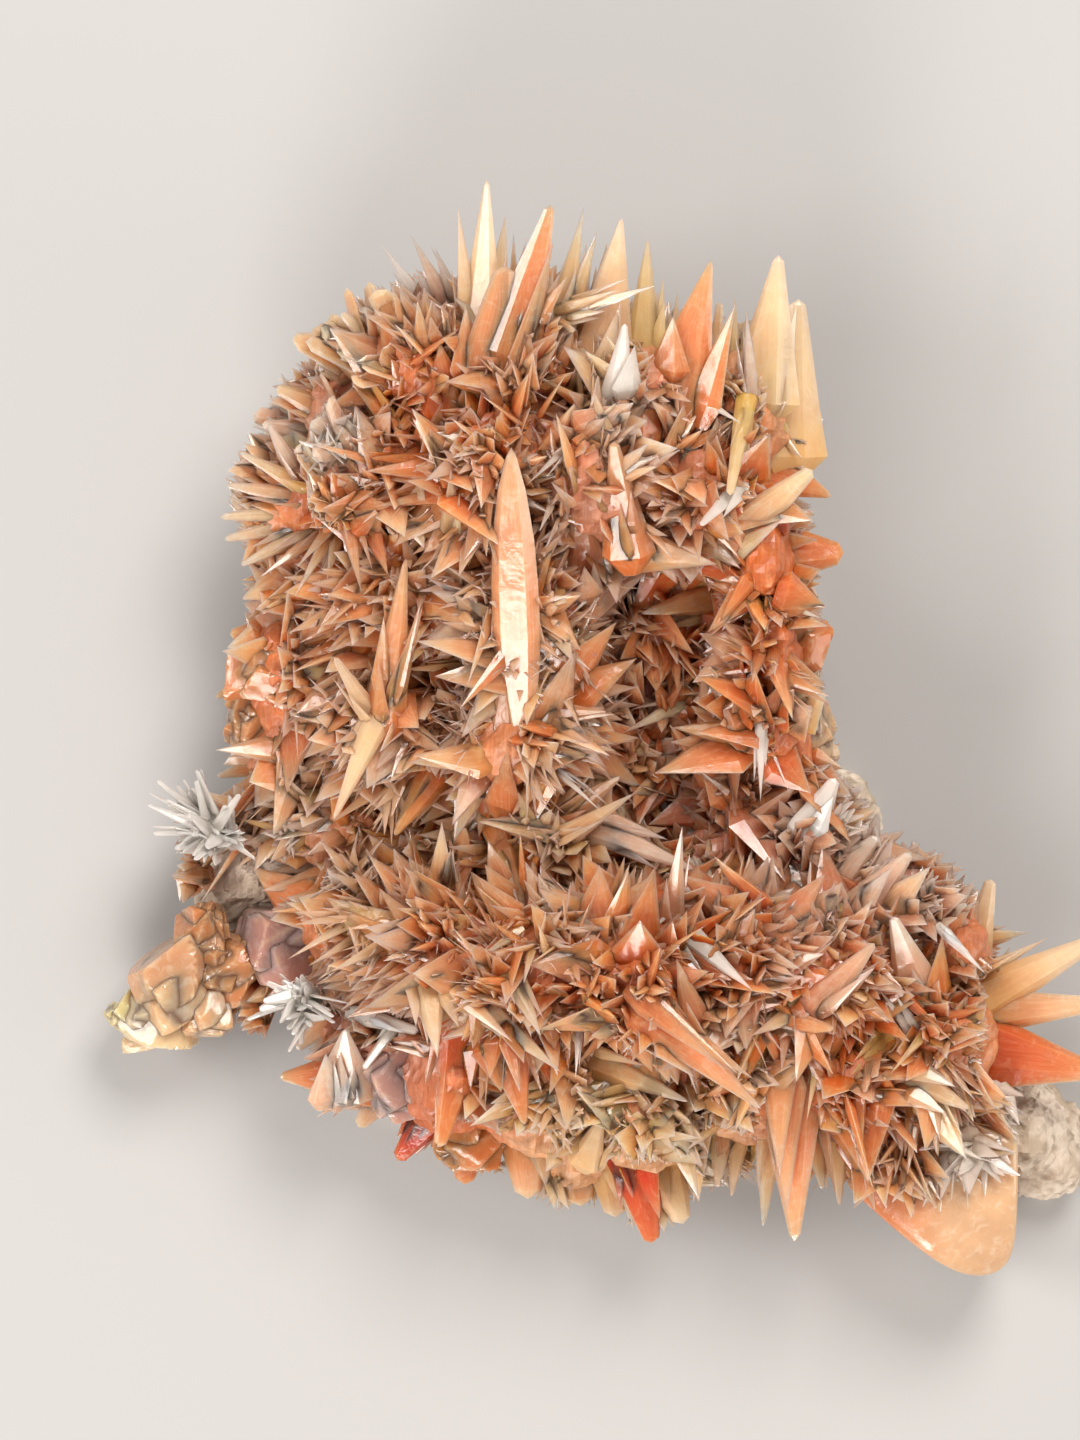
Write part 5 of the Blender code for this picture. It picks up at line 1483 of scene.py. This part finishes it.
@dataclass(frozen=True)
class Clearing:
    """The room over the placed crystals, which smaller ones mustn't cover from above."""

    crystals: Crystals
    side: float = 0.2
    from_share: float = 0.3

    def covers(self, points: Array, above: float) -> Array:
        """Tell which points stand over a placed crystal.

        The nearest place on each crystal's axis is found in plan. A point is over the
        crystal where it is nearer than the crystal's half-width there, and higher. The
        foot of the crystal may be covered. A point over a cleavage block counts too.

        Args:
            points: places in plan millimetres, one row each.
            above: how far over the axis a point may stand, in millimetres.

        Returns:
            True for each point that would hide a placed crystal.
        """
        start, end = self.crystals.foot, self.crystals.tip
        way = end[:, :2] - start[:, :2]
        away = points[:, None, :2] - start[None, :, :2]
        share = np.clip((away * way[None]).sum(axis=2) / (way ** 2).sum(axis=1)[None], 0.0, 1.0)
        gap = np.linalg.norm(away - way[None] * share[..., None], axis=2)
        height = start[None, :, 2] + (end - start)[None, :, 2] * share
        half = self.crystals.width[None] * 0.5 * (1.1 - 0.8 * share) + self.side
        over = (gap < half) & (points[:, None, 2] > height + above)
        covered = (over & (share > self.from_share)).any(axis=1)
        for block in CLEAVAGE_BLOCKS:
            offset = (points - np.array(block.middle)) @ turn_matrix(block.turn)
            within = (np.abs(offset[:, :2]) < np.array(block.size[:2]) * 0.38).all(axis=1)
            covered |= within & (offset[:, 2] > 0.0)
        return covered


def shortened(
    crystals: Crystals, beyond: float, clearing: Clearing, above: float = -0.2,
) -> Crystals:
    """Shorten crystals that reach too far past the outline or hide a placed crystal.

    Args:
        crystals: the crystals.
        beyond: how far past the crust's outline a tip may reach, in millimetres.
        clearing: the room over the placed crystals.
        above: how far over a placed crystal's axis a tip may stand, in millimetres.

    Returns:
        The crystals that are long enough to keep.
    """
    axis = crystals.tip - crystals.foot
    best = np.zeros(len(crystals))
    roof = crust_height(crystals.foot)
    clear = np.ones(len(crystals), bool)
    for share in (0.2, 0.3, 0.4, 0.5, 0.6, 0.7, 0.8, 0.9, 1.0):
        tip = crystals.foot + axis * share
        clear &= ~clearing.covers(tip, above)
        ceiling = np.minimum(np.maximum(roof, crust_height(tip)) + OVER_CRUST, HIGHEST_TIP)
        fits = clear & (tip[:, 2] > FLOOR_MARGIN) & (tip[:, 2] < ceiling)
        best = np.where(fits & (plan_margin(tip) > -beyond), share, best)
    crystals.tip = crystals.foot + axis * best[:, None]
    crystals.width = crystals.width * np.sqrt(np.maximum(best, 0.1))
    return crystals.take(best > 0.25)


@dataclass
class Fans:
    """The listed tufts of thin crystals."""

    finish: bpy.types.Material
    pale: bpy.types.Material
    clearing: Clearing
    chance: np.random.Generator

    def crystals(self, fan: Fan) -> Crystals:
        """Spread one fan's crystals between its plan angles and its rises.

        Args:
            fan: the fan.

        Returns:
            Its crystals.
        """
        count = fan.count
        chance = self.chance
        heading = np.radians(chance.uniform(*fan.angles, count))
        rise = np.radians(chance.uniform(*fan.rise, count))
        length = fan.length * chance.uniform(0.55, 1.0, count)
        away = chance.normal(0.0, 0.5, (count, 2)) * fan.reach
        foot = np.array(fan.foot)[None] + away
        low = crust_height(foot) * fan.depth - FAN_SINK
        way = np.column_stack([np.cos(heading) * np.cos(rise),
                               np.sin(heading) * np.cos(rise), np.sin(rise)])
        start = np.column_stack([foot, low])
        own = np.array(fan.tone.value)[None].repeat(count, 0)
        tone = 0.75 * own + 0.25 * zone_colour(start)
        tone = np.clip(tone * chance.uniform(0.85, 1.12, (count, 1)), 0.0, 0.97)
        return Crystals(
            start, start + way * length[:, None],
            fan.width * chance.uniform(0.8, 1.8, count),
            np.full(count, fan.blunt) * BLUNT_SHARE, chance.uniform(0.2, 0.5, count),
            chance.uniform(0.0, math.tau, count), tone, chance.uniform(0.1, 0.6, count),
        )

    def build(self) -> None:
        """Make the pale fans as one piece, and the others as another."""
        for name, pale, finish in (("crystal_fans", False, self.finish),
                                   ("pale_fans", True, self.pale)):
            rows = [fan for fan in FANS if (fan.tone in PALE_TONES) == pale]
            crystals = Crystals.joined([self.crystals(fan) for fan in rows])
            crystals = shortened(crystals, 1.6, self.clearing)
            mesh = BLADE_FORM.surface(crystals, self.chance).mesh(name)
            show_piece(name, mesh, finish, "calcite_cluster")


@dataclass(frozen=True)
class TuftLayer:
    """A layer of tufts of one size that covers the crust.

    lean is how far the tufts lean over from the crust's normal, and spread how far the
    crystals of one tuft open from each other.
    """

    name: str
    tufts: int
    each: int
    length: tuple[float, float]
    width: tuple[float, float]
    radius: float
    lean: float
    spread: float
    form: DogtoothForm
    beyond: float
    near_fans: float = 0.4
    above: float = -0.2


LAYERS = (
    TuftLayer("crust_teeth", 2600, 4, (2.6, 4.6), (1.6, 3.2), 1.4, 0.9, 0.4, BLADE_FORM, -0.4,
              1.0, 0.5),
    TuftLayer("broad_blades", 1600, 3, (5.0, 9.5), (3.0, 5.6), 1.8, 1.0, 0.18, BLADE_FORM,
              0.6),
    TuftLayer("dogtooth_tufts", 900, 5, (4.0, 8.0), (1.4, 3.0), 1.6, 1.1, 0.25, MIDDLE_FORM,
              0.4, 0.25),
    TuftLayer("needle_tufts", 400, 8, (3.5, 8.0), (0.4, 1.0), 1.6, 1.3, 0.3, NEEDLE_FORM, -0.2,
              0.25),
)


TUFT_TONES = (Tone.SALMON, Tone.ORANGE, Tone.PEACH, Tone.PINK, Tone.CREAM, Tone.DEEP)


@dataclass
class Tufts:
    """The seeded tufts that cover the crust between the placed crystals."""

    crust: Crust
    finish: bpy.types.Material
    clearing: Clearing
    chance: np.random.Generator

    def weights(self, fans_share: float) -> Array:
        """How likely a tuft is on each face: none underneath or under the sprays.

        Args:
            fans_share: how likely one is near the foot of a fan.

        Returns:
            A weight for each face of the crust.
        """
        centres, normals = self.crust.centres, self.crust.normals
        weights = np.where(normals[:, 2] > -0.25, 1.0, 0.25)
        weights = np.where(centres[:, 2] < 3.0, 0.0, weights)
        for spray in SPRAYS:
            away = np.linalg.norm(centres[:, :2] - np.array(spray.foot[:2]), axis=1)
            weights = np.where(away < 3.0, 0.0, weights)
        for fan in FANS:
            away = np.linalg.norm(centres[:, :2] - np.array(fan.foot), axis=1)
            weights = np.where(away < 0.6 * fan.length, weights * fans_share, weights)
        return weights

    def crystals(self, layer: TuftLayer) -> Crystals:
        """Grow the tufts of one layer on the crust.

        A tuft's own way is the crust's normal plus a random lean. Each of its crystals
        starts at a random place in a small disc, and leans away from the disc's middle.

        Args:
            layer: the layer.

        Returns:
            Its crystals.
        """
        chance = self.chance
        middles, normals = self.crust.places(layer.tufts, self.weights(layer.near_fans))
        lean = chance.normal(size=middles.shape)
        lean = unit(lean - normals * (lean * normals).sum(axis=1, keepdims=True))
        lean = lean * layer.lean * chance.uniform(0.4, 1.5, (len(middles), 1))
        own = unit(normals + lean + outward(middles) * layer.lean)
        own[:, 2] = np.maximum(own[:, 2], -0.2)
        scale = chance.uniform(0.7, 1.25, len(middles))
        tone = zone_colour(middles) * chance.uniform(0.82, 1.15, (len(middles), 1))
        others = np.array([other.value for other in TUFT_TONES])
        share = chance.uniform(0.0, 1.0, (len(middles), 1)) ** 2 * 0.65
        tone = tone * (1.0 - share) + others[chance.integers(len(others), size=len(middles))] * share

        rows = np.repeat(np.arange(len(middles)), layer.each)
        total = len(rows)
        disc = chance.normal(size=(total, 3))
        disc = disc - normals[rows] * (disc * normals[rows]).sum(axis=1, keepdims=True)
        disc = unit(disc) * np.sqrt(chance.uniform(0.0, 1.0, (total, 1)))
        way = unit(own[rows] + disc * layer.spread + chance.normal(0.0, 0.12, (total, 3)))
        foot = middles[rows] + disc * layer.radius * scale[rows, None] - normals[rows] * 1.5
        length = chance.uniform(*layer.length, total) * scale[rows]
        width = chance.uniform(*layer.width, total) * scale[rows]
        colour = np.clip(tone[rows] * chance.uniform(0.88, 1.12, (total, 1)), 0.0, 0.97)
        crystals = Crystals(
            foot, foot + way * length[:, None], width, np.full(total, 0.0),
            chance.uniform(0.2, 0.5, total), chance.normal(0.0, 0.7, total),
            colour, chance.uniform(0.0, 0.5, total),
        )
        return shortened(crystals, layer.beyond, self.clearing, layer.above)

    def build(self) -> None:
        """Make three pieces of each layer: its upper, middle and lower band."""
        bands = (("upper", 86.0, 200.0), ("middle", 54.0, 86.0), ("lower", -200.0, 54.0))
        for layer in LAYERS:
            crystals = self.crystals(layer)
            for band, low, high in bands:
                name = f"{layer.name}_{band}"
                rows = (crystals.foot[:, 1] > low) & (crystals.foot[:, 1] <= high)
                surface = layer.form.surface(crystals.take(rows), self.chance)
                show_piece(name, surface.mesh(name), self.finish, "calcite_cluster")


def cut_reach(ways: Array, normals: Array, offsets: Array, sharpness: float) -> Array:
    """How far a body that is bounded by flat cuts reaches in each direction.

    A cut is met at its offset over the cosine between the way and the cut's normal. The
    nearest one counts, and the sharpness is the power that rounds the edges between cuts.

    Args:
        ways: unit directions, one row each.
        normals: the cuts' unit normals, one row each.
        offsets: the cuts' distances from the middle.
        sharpness: how crisp the edges are.

    Returns:
        The distance in each direction.
    """
    nearness = np.maximum(ways @ normals.T, 0.0) / offsets[None]
    most = nearness.max(axis=1, keepdims=True)
    return 1.0 / (most[:, 0] * ((nearness / most) ** sharpness).sum(axis=1) ** (1.0 / sharpness))


@dataclass
class BrokenMass:
    """The massive broken lumps: each block is a few bodies bounded by flat breaks."""

    finish: bpy.types.Material
    chance: np.random.Generator
    bodies: int = 8
    breaks: int = 18
    roughness: float = 0.12

    def surface(self, block: Block) -> Surface:
        """Work out one block's bodies.

        Every body is bounded by the sides of a slanted block and by random breaks across
        its corners, and pushed in and out a little by noise. Its edges carry a painted
        highlight: it is paler there, where the rounded reach falls short of the sharp one.

        Args:
            block: the block.

        Returns:
            Its bodies, each closed.
        """
        chance = self.chance
        ways = BROKEN_GLOBE.ways()
        signs = np.array(list(np.ndindex(2, 2, 2))) - 0.5
        points, tints = [], []
        for number in range(self.bodies):
            share = 0.98 if number == 0 else chance.uniform(0.4, 0.8)
            size = np.array(block.size) * share
            corners = signs * size
            corners[:, 0] += corners[:, 1] * block.shear
            sides = unit(np.array([(1.0, -block.shear, 0.0), (0.0, 1.0, 0.0), (0.0, 0.0, 1.0)]))
            breaks = unit(chance.normal(size=(self.breaks, 3)))
            normals = np.concatenate([sides, -sides, breaks])
            offsets = (normals @ corners.T).max(axis=1)
            offsets[:6] *= chance.uniform(0.93, 1.0, 6)
            offsets[6:] *= chance.uniform(0.5, 0.85, self.breaks)
            reach = cut_reach(ways, normals, offsets, 60.0)
            # Painted highlight: edge is where the rounded reach falls short of the sharp one
            edge = np.clip((1.0 - reach / cut_reach(ways, normals, offsets, 900.0)) * 90, 0, 1)
            room = (np.array(block.size) - size) / 2.0
            body = ways * reach[:, None]
            if number > 0:
                body = body @ turn_matrix(chance.uniform(-22.0, 22.0, 3)).T
            body = body + room * chance.uniform(-1.0, 1.0, 3)
            body = body @ turn_matrix(block.turn).T + np.array(block.middle)
            push = (lattice_noise(body, 0.9, 70 + number) - 0.5) * self.roughness
            points.append(body + ways * push[:, None])
            tone = np.array(block.tone.value) * chance.uniform(0.75, 1.0)
            # The edges are mixed towards cream as a painted highlight
            pale = (edge * 0.4)[:, None]
            tints.append(tone * (1.0 - pale) + np.array(Tone.CREAM.value) * pale)
        return BROKEN_GLOBE.surface(np.array(points), np.array(tints))

    def build(self) -> None:
        """Make one piece of the lump at the lower left and one of the other blocks."""
        surfaces = [self.surface(block) for block in CLEAVAGE_BLOCKS]
        lump = [block.middle[1] < 54.0 and block.middle[0] < 30.0 for block in CLEAVAGE_BLOCKS]
        for name, wanted in (("broken_lump", True), ("broken_edges", False)):
            chosen = [surface for surface, here in zip(surfaces, lump) if here == wanted]
            show_piece(name, Surface.joined(chosen).mesh(name), self.finish,
                       "calcite_cluster")


def turn_matrix(turn: tuple[float, float, float] | Array) -> Array:
    """Return the matrix that turns about X, then Y, then Z, by angles in degrees."""
    matrix = np.eye(3)
    for number, angle in enumerate(np.radians(turn)):
        cosine, sine = math.cos(angle), math.sin(angle)
        first, second = (number + 1) % 3, (number + 2) % 3
        step = np.eye(3)
        step[first, first] = step[second, second] = cosine
        step[first, second], step[second, first] = -sine, sine
        matrix = step @ matrix
    return matrix


@dataclass
class BluntCrystal:
    """The broad cream crystal with a rounded end."""

    finish: bpy.types.Material
    globe: Globe = Globe(60, 120)
    middle: tuple[float, float, float] = (95.0, 25.0, 10.5)
    half_height: float = 5.4
    sharpness: float = 22.0

    def surface(self) -> Surface:
        """Bound the crystal by its outline's sides, a low roof and a flat underside.

        Returns:
            The closed crystal, cream at its end and orange at its left.
        """
        corners = np.array(BLUNT_OUTLINE) - np.array(self.middle[:2])
        along = np.roll(corners, -1, axis=0) - corners
        sides = unit(np.column_stack([along[:, 1], -along[:, 0], np.zeros(len(along))]))
        offsets = (sides[:, :2] * corners).sum(axis=1)
        roofs = unit(np.array([(0.0, 0.0, 1.0), (-0.35, -0.3, 1.0), (0.25, -0.5, 1.0)]))
        normals = np.concatenate([sides, roofs, [(0.0, 0.0, -1.0)]])
        heights = np.array([1.0, 1.25, 1.2, 1.0]) * self.half_height
        ways = self.globe.ways()
        reach = cut_reach(ways, normals, np.concatenate([offsets, heights]), self.sharpness)
        points = ways * reach[:, None] + np.array(self.middle)
        share = np.clip((points[:, 0] - 89.0) / 6.0, 0.0, 1.0)[:, None]
        tint = np.array(Tone.SALMON.value) * (1.0 - share) + np.array(Tone.CREAM.value) * share
        return self.globe.surface(points[None], tint * 0.82)

    def build(self) -> None:
        """Make the crystal as a smooth piece."""
        mesh = self.surface().mesh("blunt_crystal")
        mesh.shade_smooth()
        show_piece("blunt_crystal", mesh, self.finish, "calcite_cluster")


@dataclass
class ClearSprays:
    """The fans of colourless blades on the left edge and below the broken mass."""

    finish: bpy.types.Material
    chance: np.random.Generator
    each: int = 9

    def build(self) -> None:
        """Make one piece for each spray."""
        for spray in SPRAYS:
            tips = np.array(spray.tips)
            rows = np.repeat(np.arange(len(tips)), self.each)
            total = len(rows)
            foot = np.array(spray.foot)[None] + self.chance.normal(0.0, 0.7, (total, 3))
            way = tips[rows] - foot
            reach = self.chance.uniform(0.45, 1.0, (total, 1))
            tip = foot + way * reach + self.chance.normal(0.0, 0.8, (total, 3)) * reach
            tone = np.array(Tone.WHITE.value) * self.chance.uniform(0.92, 1.0, (total, 1))
            crystals = limited(Crystals(
                foot, tip, self.chance.uniform(0.9, 2.2, total), np.full(total, 0.5),
                self.chance.uniform(0.2, 0.5, total),
                self.chance.uniform(0.0, math.tau, total), tone, np.full(total, 0.0)))
            name = spray.node + "_blades"
            mesh = BLADE_FORM.surface(crystals, self.chance).mesh(name)
            show_piece(name, mesh, self.finish, spray.node)


@dataclass
class Matrix:
    """The rock under the crust, sawn flat and bare at the lower right."""

    finish: bpy.types.Material

    def build(self) -> None:
        """Make the rock as one pitted skin."""
        skin = FusedSkin(ROCK_LUMPS, 0.6, waves=((0.25, 1.8), (0.8, 1.3), (1.8, 0.7)), seed=60)
        mesh = skin.fused_mesh("matrix_rock")
        cut_flat(mesh, 0.0)
        paint_tint(mesh, np.ones((len(mesh.vertices), 3)))
        show_piece("matrix_rock", mesh, self.finish, "matrix")


@dataclass(frozen=True)
class Studio:
    """The pale floor, the soft lights and the camera that looks straight down."""

    aim: tuple[float, float] = (54.0, 72.0)
    aim_height: float = 15.0
    lens: float = 200.0
    sensor: float = 36.0
    long_side: float = 144.0
    floor_half: float = 2.5

    def build(self) -> None:
        """Make everything round the specimen."""
        self.floor()
        self.camera()
        self.lights()
        self.look()

    def floor(self) -> None:
        """Lay a pale matt floor just under the specimen."""
        half = self.floor_half
        mesh = bpy.data.meshes.new("floor")
        corners = [(-half, -half, 0.0), (half, -half, 0.0), (half, half, 0.0), (-half, half, 0.0)]
        mesh.from_pydata(corners, [], [(0, 1, 2, 3)])
        item = bpy.data.objects.new("floor", mesh)
        bpy.context.scene.collection.objects.link(item)
        item.location.z = -0.05 * MM
        nodes = Nodes("pale_floor")
        shader = nodes.add("ShaderNodeBsdfPrincipled", {}, {
            "Base Color": (0.42, 0.41, 0.40, 1.0), "Roughness": 0.9})
        nodes.add("ShaderNodeOutputMaterial", {}, {"Surface": shader.outputs["BSDF"]})
        mesh.materials.append(nodes.material)

    def camera(self) -> None:
        """Hang the camera over the photograph's middle."""
        data = bpy.data.cameras.new("camera")
        data.lens = self.lens
        data.sensor_width = self.sensor
        data.clip_start = 0.05
        item = bpy.data.objects.new("camera", data)
        bpy.context.scene.collection.objects.link(item)
        distance = self.long_side * self.lens / self.sensor
        item.location = to_world(np.array([*self.aim, self.aim_height + distance]))
        bpy.context.scene.camera = item

    def lights(self) -> None:
        """Hang the soft lights, each aimed at the specimen's middle."""
        rows = (
            # Name, place in metres, side in metres, watts and colour
            ("key", (0.16, 0.36, 0.50), 0.28, 3.6, (1.0, 0.97, 0.93)),
            ("left_fill", (-0.50, 0.02, 0.42), 0.26, 2.4, (1.0, 0.98, 0.96)),
            ("low_right", (0.50, -0.10, 0.20), 0.24, 0.8, (1.0, 0.93, 0.84)),
            ("front", (-0.16, -0.52, 0.36), 0.28, 3.2, (1.0, 0.97, 0.94)),
        )
        for name, place, side, watts, colour in rows:
            data = bpy.data.lights.new(name, "AREA")
            data.shape = "SQUARE"
            data.size = side
            data.energy = watts
            data.color = colour
            item = bpy.data.objects.new(name, data)
            bpy.context.scene.collection.objects.link(item)
            item.location = place
            item.rotation_mode = "QUATERNION"
            towards = -item.location
            item.rotation_quaternion = towards.to_track_quat("-Z", "Y")

    def look(self) -> None:
        """Set the even light of the room and how the picture is developed."""
        scene = bpy.context.scene
        world = bpy.data.worlds.new("room")
        world.use_nodes = True
        background = world.node_tree.nodes["Background"]
        background.inputs["Color"].default_value = (1.0, 0.97, 0.94, 1.0)
        background.inputs["Strength"].default_value = 0.37
        scene.world = world
        scene.view_settings.view_transform = "Standard"
        scene.cycles.use_denoising = True
        scene.cycles.max_bounces = 4
        scene.cycles.diffuse_bounces = 2
        scene.cycles.glossy_bounces = 2


def main() -> None:
    """Build the specimen, piece by piece, and the studio round it."""
    logging.basicConfig(level=logging.INFO, format="%(name)s %(message)s")
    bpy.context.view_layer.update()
    chance = np.random.default_rng(11)
    Studio().build()
    crust_finish = CalciteFinish("crust_calcite", see_through=0.0, glow=0.2, roughness=0.3)
    calcite = CalciteFinish("orange_calcite").material()
    massive = CalciteFinish("massive_calcite", 0.25, 0.8, 0.10, 0.6, 0.3,
                              0.0).material()
    clear = CalciteFinish("clear_calcite", 0.3, 0.6, 0.10, 0.3, 0.1, 0.2,
                          scatter=(1.0, 1.0, 1.0)).material()
    Matrix(RockFinish().material()).build()
    crust = Crust(crust_finish, chance)
    crust.build()
    clearing = NamedCrystals(calcite, clear, chance).build()
    Fans(calcite, clear, clearing, chance).build()
    Tufts(crust, calcite, clearing, chance).build()
    BrokenMass(massive, chance).build()
    BluntCrystal(massive).build()
    ClearSprays(clear, chance).build()


if __name__ == "__main__":
    main()
